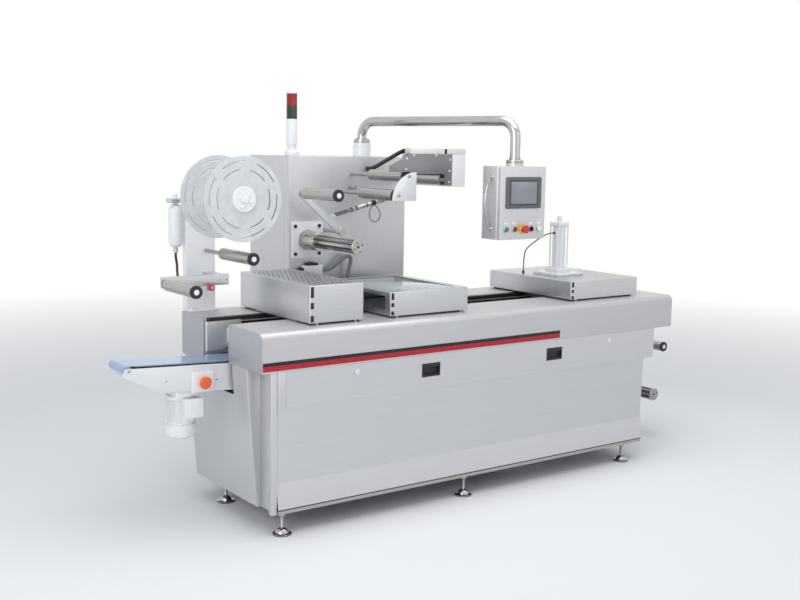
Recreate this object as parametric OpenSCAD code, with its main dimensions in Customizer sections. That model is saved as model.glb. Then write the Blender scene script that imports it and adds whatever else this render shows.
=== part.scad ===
/* [Machine body] */
// Distance between the first and the last foot
foot_span = 2166; // [2050:1:2300]
// Distance between the first and the second row of feet
foot_rows = 548; // [500:1:600]
// Clear height under the frame
frame_z = 103; // [90:1:140]
// Width of the square frame tube
tube = 50; // [40:1:60]
// Wall of the square frame tube
tube_wall = 3; // [2:0.5:5]
// Overhang of the body left of the first foot
body_left = 40; // [36:1:60]
// Overhang of the body right of the last foot
body_right = 114; // [100:1:140]
// Depth from the first foot to the face of the tower
body_depth = 740; // [720:1:780]
// Distance of the front face before the first foot
front_out = 31; // [24:1:40]
// Height of the fold between front panel and flap
flap_z = 576; // [540:1:600]
// Thickness of the sheet metal
sheet = 3; // [2:0.5:4]

/* [Deck] */
// Height of the underside of the deck
deck_z = 740; // [710:1:790]
// Height of the deck rails
deck_h = 175; // [165:1:190]
// Overhang of the deck left of the first foot
deck_left = 115; // [110:1:130]
// Length of the deck
deck_l = 2611; // [2560:1:2700]
// Depth of the inner face of the front rail
lane_front = 274; // [262:1:280]
// Width of the film lane between the rails
lane_w = 256; // [250:1:262]
// Radius of the front edge of the deck
deck_edge_r = 30; // [20:1:40]
// Depth of the rear face of the rear rail behind the tower's face
rear_lap = 25; // [15:1:30]

/* [Covers] */
// Depth of the front faces of the covers
cover_front = 60; // [40:1:80]
// Depth of the covers from front to rear
cover_depth = 615; // [590:1:630]
// Depth of the cutting and forming covers
deep_cover_depth = 672; // [640:1:675]
// Height of the pins that the covers stand on
cover_pin_h = 10; // [6:1:14]
// Wall of the covers
cover_wall = 2; // [1.5:0.5:3]
// Left face of the cutting cover
cutting_x = 176; // [160:1:190]
// Length of the cutting cover
cutting_l = 289; // [280:1:300]
// Height of the cutting cover
cutting_h = 170; // [150:1:190]
// Left face of the sealing cover
sealing_x = 617; // [600:1:640]
// Length of the sealing cover
sealing_l = 468; // [450:1:490]
// Height of the sealing cover
sealing_h = 113; // [100:1:130]
// Left face of the forming cover
forming_x = 1793; // [1780:1:1820]
// Length of the forming cover
forming_l = 511; // [490:1:530]
// Height of the forming cover
forming_h = 96; // [90:1:110]
// Height of the plug cylinder over its base plate
plug_h = 278; // [240:1:300]

/* [Tower] */
// Left face of the tower
tower_x = 457; // [440:1:470]
// Length of the tower
tower_l = 724; // [700:1:760]
// Height of the tower over the deck
tower_h = 750; // [740:1:800]
// Depth of the tower
tower_depth = 416; // [380:1:450]
// Depth of the front tray of the tower
tray_depth = 45; // [35:1:60]
// Width of the winder column
column_w = 152; // [140:1:165]
// Height of the winder column
column_h = 610; // [590:1:640]

/* [Web path] */
// Radius of the web rollers
roller_r = 28; // [24:1:30]
// Radius of the roller axles
axle_r = 10; // [8:0.5:12]
// Radial clearance of the running fits
fit = 0.06; // [0.03:0.01:0.1]
// Length of the dancer arm between its pivots
dancer_l = 306; // [290:1:315]
// Width of the dancer arm
dancer_w = 41; // [34:1:46]
// Radius of the expanding film shafts
mandrel_r = 35; // [30:1:40]
// Side of the square flange of the film shafts
flange_side = 186; // [170:1:190]
// Radius of the scrap winder discs
disc_r = 192; // [180:1:200]
// Thickness of the scrap winder discs
disc_t = 4; // [3:0.5:6]

/* [Control arm] */
// Outer radius of the arm's tube
arm_r = 25.4; // [22:0.1:28]
// Centre line radius of the arm's bends
arm_bend = 80; // [70:1:90]
// Horizontal reach of the arm
arm_reach = 969; // [930:1:1000]
// Direction of the arm seen from above
arm_angle = -73.7; // [-78:0.1:-70]
// Width of the control box
box_w = 288; // [270:1:300]
// Depth of the control box
box_d = 139; // [120:1:150]
// Height of the control box
box_h = 350; // [335:1:370]

/* [Discharge conveyor] */
// Distance of the conveyor's nose before the first foot
conveyor_out = 616; // [580:1:650]
// Width over the conveyor's side plates
conveyor_w = 190; // [180:1:200]
// Radius of the conveyor drums
drum_r = 18; // [16:1:19]
// Radius of the motor's fan cowl
cowl_r = 70; // [60:1:75]

/* [Hidden] */
$fn = 48;

// Clearance between pieces that rest against each other
seat = 0.3;
// Overrun of every cut
cut = 5;

// Planes that the pieces share
deck_top = deck_z + deck_h;
lane_rear = lane_front + lane_w;
deck_x0 = -deck_left;
deck_x1 = deck_x0 + deck_l;
deck_rear_y = body_depth + rear_lap;
body_x0 = -body_left;
body_x1 = foot_span + body_right;
face_y = -front_out;
tower_x1 = tower_x + tower_l;
tower_top = deck_top + tower_h;
tower_rear = body_depth + tower_depth;
foot_mid_share = 0.477;
foot_x = [0, foot_span * foot_mid_share, foot_span];

// Feet
pad_r = 43;
pad_h = 8;
bell_r = 30;
bell_h = 24;
stud_r = 8;
nut_r = 15;
nut_h = 12;
foot_plate_h = 6;
foot_plate_w = 76;
cabinet_foot_in = 60;
cabinet_x = [tower_x + cabinet_foot_in, tower_x1 - cabinet_foot_in];
cabinet_foot_y = tower_rear - cabinet_foot_in;

// Front panel
bend_in = 17;
bend_z = 240;
skirt_out = 8;
skirt_z = 125;
skirt_h = 22;
flap_x0 = 5;
flap_over = 78;
flap_corner_r = 25;
bend_y = face_y + bend_in;
frame_y0 = bend_y + sheet + seat;
frame_x0 = body_x0 + sheet + seat;
frame_x1 = body_x1 - sheet - seat;
frame_y1 = body_depth - seat;
flap_x1 = body_x1 + flap_over;
handle_w = 105;
handle_h = 60;
handle_deep = 17;
handle_rim = 8;
handle_first = 834;
handle_pitch = 803;
handle_drop = 73;
handle_x = [body_x0 + handle_first, body_x0 + handle_first + handle_pitch];
handle_z = deck_z - handle_drop;
lock_r = 12;
lock_in = 280;
lock_drop = 39;
lock_left_in = 413;
lock_left_x = body_x0 + lock_left_in;
lock_x = body_x1 - lock_in;
lock_z = deck_z - lock_drop;
lock_out = 5;

// Left end cover
wedge_y0 = 117;
wedge_short = 5;
wedge_out = deck_left - wedge_short;
wedge_foot = 62;
wedge_knee_z = 690;
corner_w = 30;
corner_d = 27;

// Deck inner pieces
rear_sag = 29;
sag_chamfer = 16;
cap_t = 6;
cap_step = 9;
rib_h = 26;
stripe_t = 1;
stripe_z0 = 8;
stripe_h = 39;
stripe_black_share = 0.42;
stripe_l = 1747;
guide_w = 26;
guide_h = 52;
guide_drop = 3;
groove_w = 16;
groove_h = 18;
chain_w = 10;
groove_mid = guide_w - groove_w / 2;
chain_y = [lane_front + groove_mid - chain_w / 2, lane_rear - groove_mid - chain_w / 2];
chain_t = 8;
chain_r = 45;
chain_in = 65;
chain_drop = 31;
chain_x0 = deck_x0 + chain_in;
chain_x1 = deck_x1 - chain_in;
chain_z = deck_top - chain_drop;
guide_in = 10;
guide_short = 120;
guide_x0 = deck_x0 + guide_in;
guide_x1 = deck_x1 - guide_short;
shaft_r = 12.5;

// Exit chute
chute_bend = 38;
slide_in = 175;
side_plate_l = 110;
chute_t = 2;
chute_z0 = 757;
chute_drop = 19;
chute_in = 2;
strip_w = 8;

// Covers
cover_z0 = deck_top + cover_pin_h;
pin_r = 6;
pin_in = 42;
lip = 14;
perf_r = 7;
perf_pitch = 24;
louvre_count = 16;
louvre_w = 8;
louvre_l = 460;
louvre_angle = 35;
window_rim = 46;
slot_w = 8;
slot_l = 26;
slot_count = 9;
plug_plate_l = 200;
plug_plate_d = 200;
plug_plate_t = 15;
plug_along = 197;
plug_back = 312;
plug_x = forming_x + plug_along;
plug_y = cover_front + plug_back;
plug_left_share = 0.5;
plug_bolt_x_share = [-0.42, 0.42];
plug_bolt_y_share = [-0.42, 0.42];
plug_base = 105;
plug_cap = 80;
plug_cap_h = 22;
plug_barrel_r = 36;
tie_r = 6;
plug_nozzle_r = 14;
plug_nozzle_h = 35;
fitting_r = 7;
fitting_h = 12;

// Tower
cabinet_z0 = 150;
cabinet_gap = 53;
beacon_in = 45;
beacon_back = 50;
beacon_x = tower_x + beacon_in;
beacon_y = body_depth + beacon_back;
beacon_r = 28;
beacon_base_r = 38;
beacon_part_h = [28, 26, 130, 65, 62, 18];
rack_t = 42;
column_in = 8;
column_x0 = deck_x0 + column_in;
column_foot_t = 10;
column_foot_lap = 40;
winder_in = 67;
winder_drop = 51;
winder_x = column_x0 + winder_in;
winder_z = deck_top + column_h - winder_drop;
winder_shaft_r = 12;
winder_bearing_r = 30;
winder_bearing_l = 40;
winder_gap = 1;
winder_w = 250;
winder_y0 = lane_front + winder_gap;
winder_y1 = winder_y0 + winder_w;
winder_hub_r = 53;
winder_knob_r = 22;
winder_knob_l = 18;
winder_cap_r = 58;
winder_cap_t = 10;
winder_nut_r = 9;
winder_nut_l = 20;
winder_nut_at = [[27, -10], [-14, -33]];
slot_share = [0.68, 0.87];
winder_slots = 6;
winder_slot_deg = 42;
winder_twist_deg = 60;
winder_slot_w = 8;
bottle_r = 33;
bottle_out = 45;
bottle_back = 20;
bottle_up = 306;
bottle_x = column_x0 - bottle_out;
bottle_y = body_depth + bottle_back;
bottle_z0 = deck_top + bottle_up;
bottle_h = 215;
bottle_neck_r = 12;
bottle_neck_h = 22;

// Web path
roller_lap = 24;
roller_y0 = lane_front - roller_lap;
roller_back = 187;
roller_y1 = body_depth - roller_back;
ring_l = 12;
ring_lip = 1;
scrap_in = 104;
scrap_drop = 269;
plate_drop = 150;
exit_out = 177;
exit_up = 18;
lower_off = [318, 567];
upper_off = [378, 660];
head_off = [608, 642];
scrap_at = [column_x0 + scrap_in, winder_z - scrap_drop];
plate_z0 = scrap_at[1] - plate_drop;
exit_at = [column_x0 - exit_out, plate_z0 + exit_up];
lower_at = [tower_x, deck_top] + lower_off;
upper_at = [tower_x, deck_top] + upper_off;
head_at = [tower_x, deck_top] + head_off;
plate_t = 12;
plate_gap = 25;
plate_end = 22;
plate_right = 145;
plate_y1 = roller_y1 + plate_gap + plate_t;
plate_x0 = exit_at[0] - plate_end;
plate_x1 = column_x0 + plate_right;
plate_h = 52;
block_w = 60;
clamp_in = 42;
clamp_drop = 8;
clamp_x = column_x0 + clamp_in;
clamp_z = plate_z0 - clamp_drop;
clamp_r = 16;
clamp_l = 34;
clamp_cap = 3;
quarter_gap = 20;
quarter_y0 = roller_y0 - quarter_gap;
quarter_t = 8;
quarter_off = [106, -26];
quarter_at = lower_at + quarter_off;
quarter_r = 140;
mandrel_off = [103, 323];
mandrel_in = 12;
mandrel_at = [tower_x, deck_top] + mandrel_off;
mandrel_y0 = roller_y0 + mandrel_in;
housing_r = 48;
housing_l = 130;
flange_t = 10;
mandrel_shaft_r = 20;
mandrel_ribs = 8;
mandrel_rib_w = 9;
mandrel_rib_out = 3;
mandrel_cap_t = 8;
bolt_r = 8;
bolt_h = 6;
bolt_in = 22;
dancer_angle = 139.6;
dancer_t = 12;
dancer_y0 = plate_y1;
dancer_off = [222, 371];
dancer_at = [tower_x, deck_top] + dancer_off;
dancer_shaft_r = 12;
dancer_boss_r = 22;
lug_along = 86;
lug_off = 30;
lug_r = 12;
stud_off = [514, 532];
stud_at = [tower_x, deck_top] + stud_off;
damper_r = 12;
damper_gap = 18;
damper_y = dancer_y0 + dancer_t + damper_gap;
spring_share = 0.33;
spring_r = 9;
spring_wire = 3;
spring_turns = 10;
sensor_in = 48;
sensor_up = 141;
sensor_x0 = tower_x + sensor_in;
sensor_w = 134;
sensor_z0 = deck_top + sensor_up;
sensor_h = 69;
sensor_d = 40;
stub_r = 12;
stub_l = 50;
stub_off = [368, 591];
stub_at = [tower_x, deck_top] + stub_off;

// Film head
head_in = 271;
head_l = 381;
head_up = 615;
head_h = 154;
head_slot_h = 60;
head_cut_h = 66;
head_cut_l = 159;
head_x0 = tower_x + head_in;
head_x1 = head_x0 + head_l;
head_z0 = deck_top + head_up;
head_z1 = head_z0 + head_h;
head_slot_z = head_z0 + head_slot_h;
head_cut_z = head_z0 + head_cut_h;
head_cut_x = head_x0 + head_cut_l;
head_strip_w = 44;
head_lap = 10;
head_gap = 15;
head_y0 = roller_y0 - head_lap;
head_y1 = roller_y1 + head_gap;
head_t = 8;
head_box_w = 85;
head_top_in = 125;
head_top_x0 = head_x0 + head_top_in;
head_top_h = 28;
head_lip = 14;
head_rear_in = 312;
head_top_gap = 18;
head_rear_x = head_x0 + head_rear_in;
head_arm = 40;
head_arm_in = 13;
head_arm_out = 60;
head_arm_up = 15;
head_arm_x = [head_rear_x + head_arm_in, tower_x1 - head_arm_out];
head_arm_z = head_z0 + head_arm_up;
head_bolt_share = [
  [0.26, 0.85], [0.25, 0.52], [0.37, 0.96], [0.73, 0.97], [0.96, 0.83], [0.955, 0.47], [0.95, 0.11]
];

// Bottom film shaft at the right end
reel_plate_lap = 90;
reel_plate_x0 = body_x1 - reel_plate_lap;
reel_plate_l = 640;
reel_plate_t = 12;
reel_plate_z0 = 190;
reel_plate_h = 420;
bottom_off = [432, 263];
bottom_roller_off = [497, 550];
bottom_at = [body_x1, 0] + bottom_off;
bottom_roller_at = [body_x1, 0] + bottom_roller_off;

// Control arm
arm_wall = 3;
arm_off = [512, 110];
arm_at = [tower_x, body_depth] + arm_off;
socket_r = 47;
socket_h = 72;
arm_flange_h = 19;
arm_flange_r = 44;
arm_up = 185;
arm_z = tower_top + arm_up;
spigot_r = 20;
spigot_l = 40;
box_at = arm_at + arm_reach * [cos(arm_angle), sin(arm_angle)];
box_drop = 217;
box_z1 = arm_z - box_drop;
neck_h = 16;
neck_r = 43;
arm_collar_h = 12;
neck_bore_r = 15;
box_x0 = box_at[0] - box_w / 2;
box_y0 = box_at[1] - box_d / 2;
box_z0 = box_z1 - box_h;
box_x1 = box_x0 + box_w;
box_lid = 22;
hmi_w = 224;
hmi_h = 151;
hmi_t = 6;
hmi_up = 149;
hmi_z0 = box_z0 + hmi_up;
screen_w = 166;
screen_h = 107;
screen_deep = 1;
button_up = 50;
button_z = box_z0 + button_up;
button_pitch = 53;
button_r = 12;
bezel_r = 15;
bezel_t = 6;
button_out = 10;
button_travel = 3;
estop_r = 20;
estop_disc_r = 26;
estop_stem_r = 11;
estop_out = 34;
estop_cap = 16;
label_w = 24;
label_h = 14;
label_t = 1;
label_up = 26;
bow_r = 7;
bow_out = 36;
bow_h = 250;

// Discharge conveyor
conv_gap = 1;
conv_y0 = lane_front + conv_gap;
conv_y1 = lane_front + conveyor_w;
conv_t = 8;
nose_x = -conveyor_out;
nose_drop = 13;
nose_z0 = deck_z - nose_drop;
nose_h = 45;
knee_in = 173;
knee_drop = 99;
conv_drop = 135;
knee_z = deck_z - knee_drop;
conv_low_z = deck_z - conv_drop;
conv_x1 = 60;
conv_rise = 28;
belt_t = 2;
belt_gap = 1;
gear_gap = 2;
drum_axle_r = 6;
drum_in = 26;
slider_t = 4;
motor_off = [302, 91];
motor_at = [nose_x, lane_front] + motor_off;
gear_side = 110;
motor_r = 65;
motor_h = 135;
fin_count = 24;
fin_w = 3;
fin_out = 6;
cowl_h = 62;
cowl_round = 24;
term_w = 82;
term_h = 82;
term_left = 21;
term_gap = 8;
term_d = 48;
switch_w = 105;
switch_h = 92;
switch_d = 12;
knob_r = 28;
knob_off = [365, -70];
knob_at = [nose_x, deck_z] + knob_off;
knob_stem_r = 12;
knob_out = 34;
knob_cap = 18;

// Tools in the film lane
film_drop = 27;
film_z = deck_top - film_drop;
die_gap = 8;
die_h = 80;
die_wall = 14;
pocket_deep = 45;
rod_r = 10;
rod_in = 46;
rod_l = 160;
bush_r = 22;
bush_h = 75;
beam_t = 25;
upper_t = 16;
upper_h = 22;
bridge_lap = 70;
knife_t = 8;
pump_l = 360;
pump_d = 260;
pump_h = 280;
gear_motor_r = 58;
gear_motor_l = 90;

// Routes of the hoses and conduits, as points chosen by hand
hose_r = 4;
cylinder_route = [
  [1845, 500, 1036], [1845, 500, 1080], [1847, 498, 1120], [1853, 488, 1160], [1880, 448, 1205],
  [1912, 400, 1244], [1932, 376, 1254], [1944, 372, 1255]
];
air_hose_r = 6;
air_route = [
  [-152, 760, 1199], [-152, 760, 1192], [-152, 760, 1184], [-151, 758, 1166],
  [-154, 742, 1142], [-172, 700, 1116], [-192, 650, 1096],
  [-203, 622, 1086], [-205, 606, 1085], [-205, 598, 1085], [-205, 590.3, 1085]
];
sensor_route = [
  [639, 720, 1080], [650, 720, 1080], [661, 720, 1080], [692, 716, 1086], [730, 708, 1112], [768, 702, 1142],
  [796, 698, 1146], [806, 698, 1126], [796, 700, 1080], [786, 702, 1020], [780, 702, 960],
  [780, 702, 938], [780, 702, 915]
];
wire_route = [
  [953, 620, 1430], [955, 620, 1423], [957, 620, 1416], [950, 618, 1402], [930, 614, 1386],
  [904, 608, 1374], [880, 606, 1376], [862, 608, 1388], [858, 622, 1394], [864, 644, 1404],
  [876, 668, 1424], [886, 692, 1438], [892, 716, 1440], [892, 728, 1440], [892, 740, 1440]
];
rib_conduit_route = [
  [933, 740, 1602], [933, 726, 1602], [933, 712, 1602], [941, 697, 1607], [961, 681, 1621],
  [989, 666, 1640], [1019, 650, 1660], [1047, 635, 1679], [1067, 619, 1693], [1075, 604, 1698],
  [1075, 590, 1698], [1075, 576, 1698]
];
rib_r = 12;
rib_bore = 8;
rib_deep = 2;

// Box between two opposite corners
module span(a, b) {
  translate(a) cube(b - a);
}

// Rod along the depth of the machine
module rod_y(x, z, y0, y1, r) {
  translate([x, y0, z]) rotate([-90, 0, 0]) cylinder(h = y1 - y0, r = r);
}

// Rod along the length of the machine
module rod_x(y, z, x0, x1, r) {
  translate([x0, y, z]) rotate([0, 90, 0]) cylinder(h = x1 - x0, r = r);
}

// Outline in X and Z, thick along Y
module plate_y(y0, y1) {
  translate([0, y1, 0]) rotate([90, 0, 0]) linear_extrude(y1 - y0) children();
}

// Outline in Y and Z, long along X
module bar_x(x0, x1) {
  translate([x0, 0, 0]) rotate([90, 0, 90]) linear_extrude(x1 - x0) children();
}

// Closed hollow box between two opposite corners
module hollow(a, b, wall) {
  difference() {
    span(a, b);
    span(a + wall * [1, 1, 1], b - wall * [1, 1, 1]);
  }
}

// Outline of a belt round two wheels
module race(p, q, r) {
  d = q - p;
  translate(p) circle(r);
  translate(q) circle(r);
  translate(p) rotate(atan2(d[1], d[0])) translate([0, -r]) square([norm(d), 2 * r]);
}

// Middle value between two, at a share
function mix(a, b, share) = a + (b - a) * share;

// Smooth line through the points of a route, in steps per stretch
function spline(p, steps) = concat(
  [for (i = [0 : len(p) - 2], k = [0 : steps - 1]) let (
    a = p[max(i - 1, 0)],
    b = p[i],
    c = p[i + 1],
    d = p[min(i + 2, len(p) - 1)],
    t = k / steps
  ) ((2 * b) + (c - a) * t + (2 * a - 5 * b + 4 * c - d) * t * t + (3 * b - 3 * c + d - a) * t * t * t) / 2],
  [p[len(p) - 1]]
);

// Direction of a line at one of its points
function heading(p, i) = let (d = p[min(i + 1, len(p) - 1)] - p[max(i - 1, 0)]) d / norm(d);

// Ring of points round a line at one of its points
function ring(p, i, r, sides, up) = let (
  t = heading(p, i),
  side = cross(t, up) / norm(cross(t, up)),
  top = cross(side, t)
) [for (k = [0 : sides - 1]) p[i] + r * (side * cos(360 * k / sides) + top * sin(360 * k / sides))];

// Side faces between the rings of a tube, from one point number on
function skin(n, sides, first, flip) = [
  for (i = [0 : n - 2], k = [0 : sides - 1], half = [0, 1]) let (
    a = first + i * sides + k,
    b = first + i * sides + (k + 1) % sides,
    f = half == 0 ? [a, b, a + sides] : [b, b + sides, a + sides]
  ) flip ? [f[2], f[1], f[0]] : f
];

// Solid tube swept along a line
module cord(p, r, sides, up) {
  n = len(p);
  rings = [for (i = [0 : n - 1]) each ring(p, i, r, sides, up)];
  last = (n - 1) * sides;
  ends = [for (k = [1 : sides - 2]) each [[0, k + 1, k], [last, last + k, last + k + 1]]];
  polyhedron(rings, concat(skin(n, sides, 0, false), ends));
}

// Ribbed tube with a bore, swept along a line with its own radius at each point
module ribbed(p, radii, bore, sides, up) {
  n = len(p);
  outer = [for (i = [0 : n - 1]) each ring(p, i, radii[i], sides, up)];
  inner = [for (i = [0 : n - 1]) each ring(p, i, bore, sides, up)];
  all = n * sides;
  ends = [for (k = [0 : sides - 1], half = [0, 1]) let (
    j = (k + 1) % sides,
    last = (n - 1) * sides
  ) each half == 0
    ? [[k, all + k, j], [last + k, last + j, all + last + k]]
    : [[j, all + k, all + j], [last + j, all + last + j, all + last + k]]];
  polyhedron(concat(outer, inner), concat(skin(n, sides, 0, false), skin(n, sides, all, true), ends));
}

// Levelling feet
module foot(x, y, top) {
  translate([x, y, 0]) {
    cylinder(h = pad_h, r = pad_r);
    translate([0, 0, pad_h]) cylinder(h = bell_h, r1 = bell_r, r2 = stud_r + seat);
    cylinder(h = top, r = stud_r);
    translate([0, 0, top - nut_h]) cylinder(h = nut_h, r = nut_r, $fn = 6);
  }
}

module levelling_feet() {
  color("silver") {
    for (x = foot_x, y = [0, foot_rows]) foot(x, y, frame_z - foot_plate_h);
    for (x = cabinet_x) foot(x, cabinet_foot_y, cabinet_z0);
  }
}

// Frame of square tube
function frame_bars() = let (
  yf = frame_y0,
  ym = foot_rows - tube / 2,
  yr = frame_y1 - tube,
  zb = frame_z,
  zt = deck_z - tube,
  zl = conv_low_z - tube,
  depth = frame_y1 - frame_y0,
  long = frame_x1 - frame_x0,
  tall = deck_z - frame_z
) concat(
  [for (y = [yf, ym, yr], z = [zb, zt]) [[frame_x0, y, z], [long, tube, tube]]],
  [for (x = foot_x, z = [zb, zl]) [[x - tube / 2, yf, z], [tube, depth, tube]]],
  [for (x = foot_x, y = [yf, ym]) [[x - tube / 2, y, zb], [tube, tube, tall]]],
  [for (x = [frame_x1 - tube, foot_x[0] - tube / 2]) [[x, yr, zb], [tube, tube, tall]]]
);

module base_frame() {
  color("silver") {
    difference() {
      for (b = frame_bars()) translate(b[0]) cube(b[1]);
      for (b = frame_bars()) translate(b[0] + tube_wall * [1, 1, 1]) cube(b[1] - 2 * tube_wall * [1, 1, 1]);
    }
    for (x = foot_x, y = [0, foot_rows]) {
      depth0 = y == 0 ? frame_y0 - foot_plate_h : y - foot_plate_w / 2;
      span(
        [x - foot_plate_w / 2, depth0, frame_z - foot_plate_h],
        [x + foot_plate_w / 2, depth0 + foot_plate_w, frame_z]
      );
    }
  }
}

// Folded front panel with its skirt and the rail under it
module front_panel() {
  color("gainsboro") {
    bar_x(body_x0, body_x1) polygon([
      [face_y - skirt_out, skirt_z], [bend_y, bend_z], [face_y, flap_z - seat],
      [face_y + sheet, flap_z - seat], [bend_y + sheet, bend_z], [face_y - skirt_out + sheet, skirt_z]
    ]);
    span([body_x0, face_y, flap_z - 2 * seat], [flap_x0 - seat, face_y + sheet, deck_z - seat]);
    difference() {
      span([body_x0, face_y - skirt_out, skirt_z - skirt_h], [body_x1, frame_y0, skirt_z]);
      span(
        [body_x0 + sheet, face_y - skirt_out + sheet, skirt_z - skirt_h - cut],
        [body_x1 - sheet, frame_y0 + cut, skirt_z - sheet]
      );
    }
  }
}

// Inclined cover over the left end
module wedge(grow) {
  x0 = body_x0;
  polygon([
    [x0 + grow, frame_z + grow], [-wedge_foot + grow, frame_z + grow], [-wedge_out + grow, wedge_knee_z],
    [-wedge_out + grow, deck_z - seat - grow], [x0 + grow, deck_z - seat - grow]
  ]);
}

module left_end() {
  color("gainsboro") {
    difference() {
      plate_y(wedge_y0, frame_y1) wedge(0);
      plate_y(wedge_y0 + sheet, frame_y1 - sheet) polygon([
        [body_x0 - sheet, frame_z + sheet],
        [-wedge_foot + sheet, frame_z + sheet],
        [-wedge_out + sheet, wedge_knee_z],
        [-wedge_out + sheet, deck_z - seat - sheet], [body_x0 - sheet, deck_z - seat - sheet]
      ]);
      span(
        [-wedge_out - cut, conv_y0 - 2 * conv_t, conv_low_z - conv_t],
        [body_x0 + cut, lane_rear - conv_t, deck_z + cut]
      );
    }
    hollow(
      [body_x0 - corner_w, face_y + seat, frame_z],
      [body_x0 - seat, face_y + seat + corner_d, deck_z - seat],
      cover_wall
    );
    span(
      [body_x0 - sheet, face_y + seat + corner_d + seat, frame_z],
      [body_x0 - seat, wedge_y0 - seat, deck_z - seat]
    );
  }
}

// Both ends and the rear panels
module body_panels() {
  left_end();
  color("gainsboro") {
    span([body_x1 - sheet, frame_y0, frame_z], [body_x1, frame_y1, deck_z - seat]);
    span([body_x0, body_depth, frame_z], [tower_x - seat, body_depth + sheet, deck_z - seat - rear_sag]);
    span(
      [tower_x1 + seat, body_depth, frame_z],
      [reel_plate_x0 - seat, body_depth + sheet, deck_z - seat - rear_sag]
    );
  }
}

// Deck rail outline with one round top edge, in Y and Z
module rail_outline(y0, y1, r, grow) {
  z0 = deck_z + grow;
  z1 = deck_top - grow;
  a = y0 + grow;
  b = y1 - grow;
  translate([a, z0]) square([b - a, z1 - z0 - r]);
  translate([a + r, z0]) square([b - a - r, z1 - z0]);
  translate([a + r, z1 - r]) circle(r);
}

module deck_front() {
  stripe_x0 = deck_x0 + sheet;
  stripe_x1 = deck_x0 + stripe_l;
  stripe_z = deck_z + stripe_z0;
  red_h = stripe_h * (1 - stripe_black_share);
  color("gainsboro") {
    difference() {
      bar_x(deck_x0, deck_x1) rail_outline(face_y, lane_front, deck_edge_r, 0);
      bar_x(deck_x0 + sheet, deck_x1 - sheet) rail_outline(face_y, lane_front, deck_edge_r - sheet, sheet);
      rod_y(chain_x1, chain_z - chain_r, lane_front - sheet - cut, lane_front + cut, shaft_r + fit);
    }
    difference() {
      bar_x(deck_x0 - seat - cap_t, deck_x0 - seat) rail_outline(face_y, lane_front, deck_edge_r, 0);
      span([deck_x0 - 2 * cap_t, face_y - cut, deck_z - cut], [deck_x0, face_y + rib_h, deck_z + cap_step]);
    }
  }
  color("black")
    span([stripe_x0, face_y - stripe_t, stripe_z + red_h + seat], [stripe_x1, face_y, stripe_z + stripe_h]);
  color("crimson")
    span([stripe_x0, face_y - stripe_t, stripe_z], [stripe_x1, face_y, stripe_z + red_h]);
}

module deck_rear() {
  color("gainsboro") {
    difference() {
      hollow([deck_x0, lane_rear, deck_z], [deck_x1, deck_rear_y, deck_top], sheet);
      rod_y(chain_x1, chain_z - chain_r, lane_rear - cut, lane_rear + sheet + cut, shaft_r + fit);
    }
    bar_x(deck_x0 - seat - cap_t, deck_x0 - seat) polygon([
      [lane_rear, deck_top],
      [lane_rear, deck_z - rear_sag - sag_chamfer],
      [deck_rear_y - 4 * rib_h, deck_z - rear_sag - sag_chamfer],
      [deck_rear_y, deck_z - rear_sag], [deck_rear_y, deck_top]
    ]);
  }
}

// Grooved guides and the gripper chains in them
module chain_guides() {
  z1 = deck_top - guide_drop;
  g = chain_z - groove_h / 2;
  color("black")
    for (s = [1, -1]) {
      y_out = s > 0 ? lane_front : lane_rear;
      y_in = y_out + s * guide_w;
      y_mid = y_out + s * (guide_w - groove_w);
      difference() {
        span([guide_x0, min(y_out, y_in), z1 - guide_h], [guide_x1, max(y_out, y_in), z1]);
        span(
          [guide_x0 - cut, min(y_mid, y_in + s * cut), g],
          [guide_x1 + cut, max(y_mid, y_in + s * cut), g + groove_h]
        );
        rod_y(chain_x0, chain_z - chain_r, lane_front, lane_rear, chain_r + chain_t);
      }
      rod_y(chain_x0, chain_z - chain_r, min(y_out, y_in), max(y_out, y_in), chain_r - seat);
    }
}

module transport_chains() {
  p = [chain_x0, chain_z - chain_r];
  q = [chain_x1, chain_z - chain_r];
  color("dimgray")
    for (y = chain_y)
      plate_y(y, y + chain_w) difference() {
        race(p, q, chain_r + chain_t);
        race(p, q, chain_r);
      }
}

// Curved sheet that the packs slide down
module exit_chute() {
  x0 = deck_x0 + seat;
  x2 = deck_x0 + slide_in;
  y0 = lane_front + guide_w + chute_in;
  y1 = lane_rear - guide_w - chute_in;
  zb = chute_z0 + chute_bend;
  z2 = deck_top - chute_drop;
  x_round = x0 + side_plate_l - chute_bend;
  color("silver") {
    span([x0, y1, chute_z0], [x0 + chute_t, lane_rear - seat, z2]);
    span([x0, lane_front + seat, zb + chute_bend], [x0 + chute_t, y0, z2]);
    span([x0, y0 - chute_t + seat, zb + chute_bend / 2], [x2 + chute_t, y0, z2]);
    plate_y(y1, y1 + chute_t - seat) {
      translate([x0, zb]) square([x2 + chute_t - x0, z2 - zb]);
      translate([x0, chute_z0]) square([x_round - x0, zb - chute_z0 + seat]);
      translate([x_round, zb]) intersection() {
        circle(chute_bend);
        translate([-seat, -chute_bend]) square([chute_bend + seat, chute_bend + seat]);
      }
    }
    span([deck_x0 - strip_w / 2, y1 - strip_w / 2, chute_z0], [x0, y1 + strip_w / 2, z2]);
    span([x2, y0 - seat, zb], [x2 + chute_t, y1 + seat, zb + chute_bend]);
    translate([x2 + chute_t - chute_bend, y1 + seat, zb]) rotate([90, 0, 0]) rotate([0, 0, -90])
      linear_extrude(y1 - y0 + 2 * seat) difference() {
        intersection() {
          circle(chute_bend);
          square([chute_bend, chute_bend]);
        }
        circle(chute_bend - chute_t);
      }
  }
}

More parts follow.
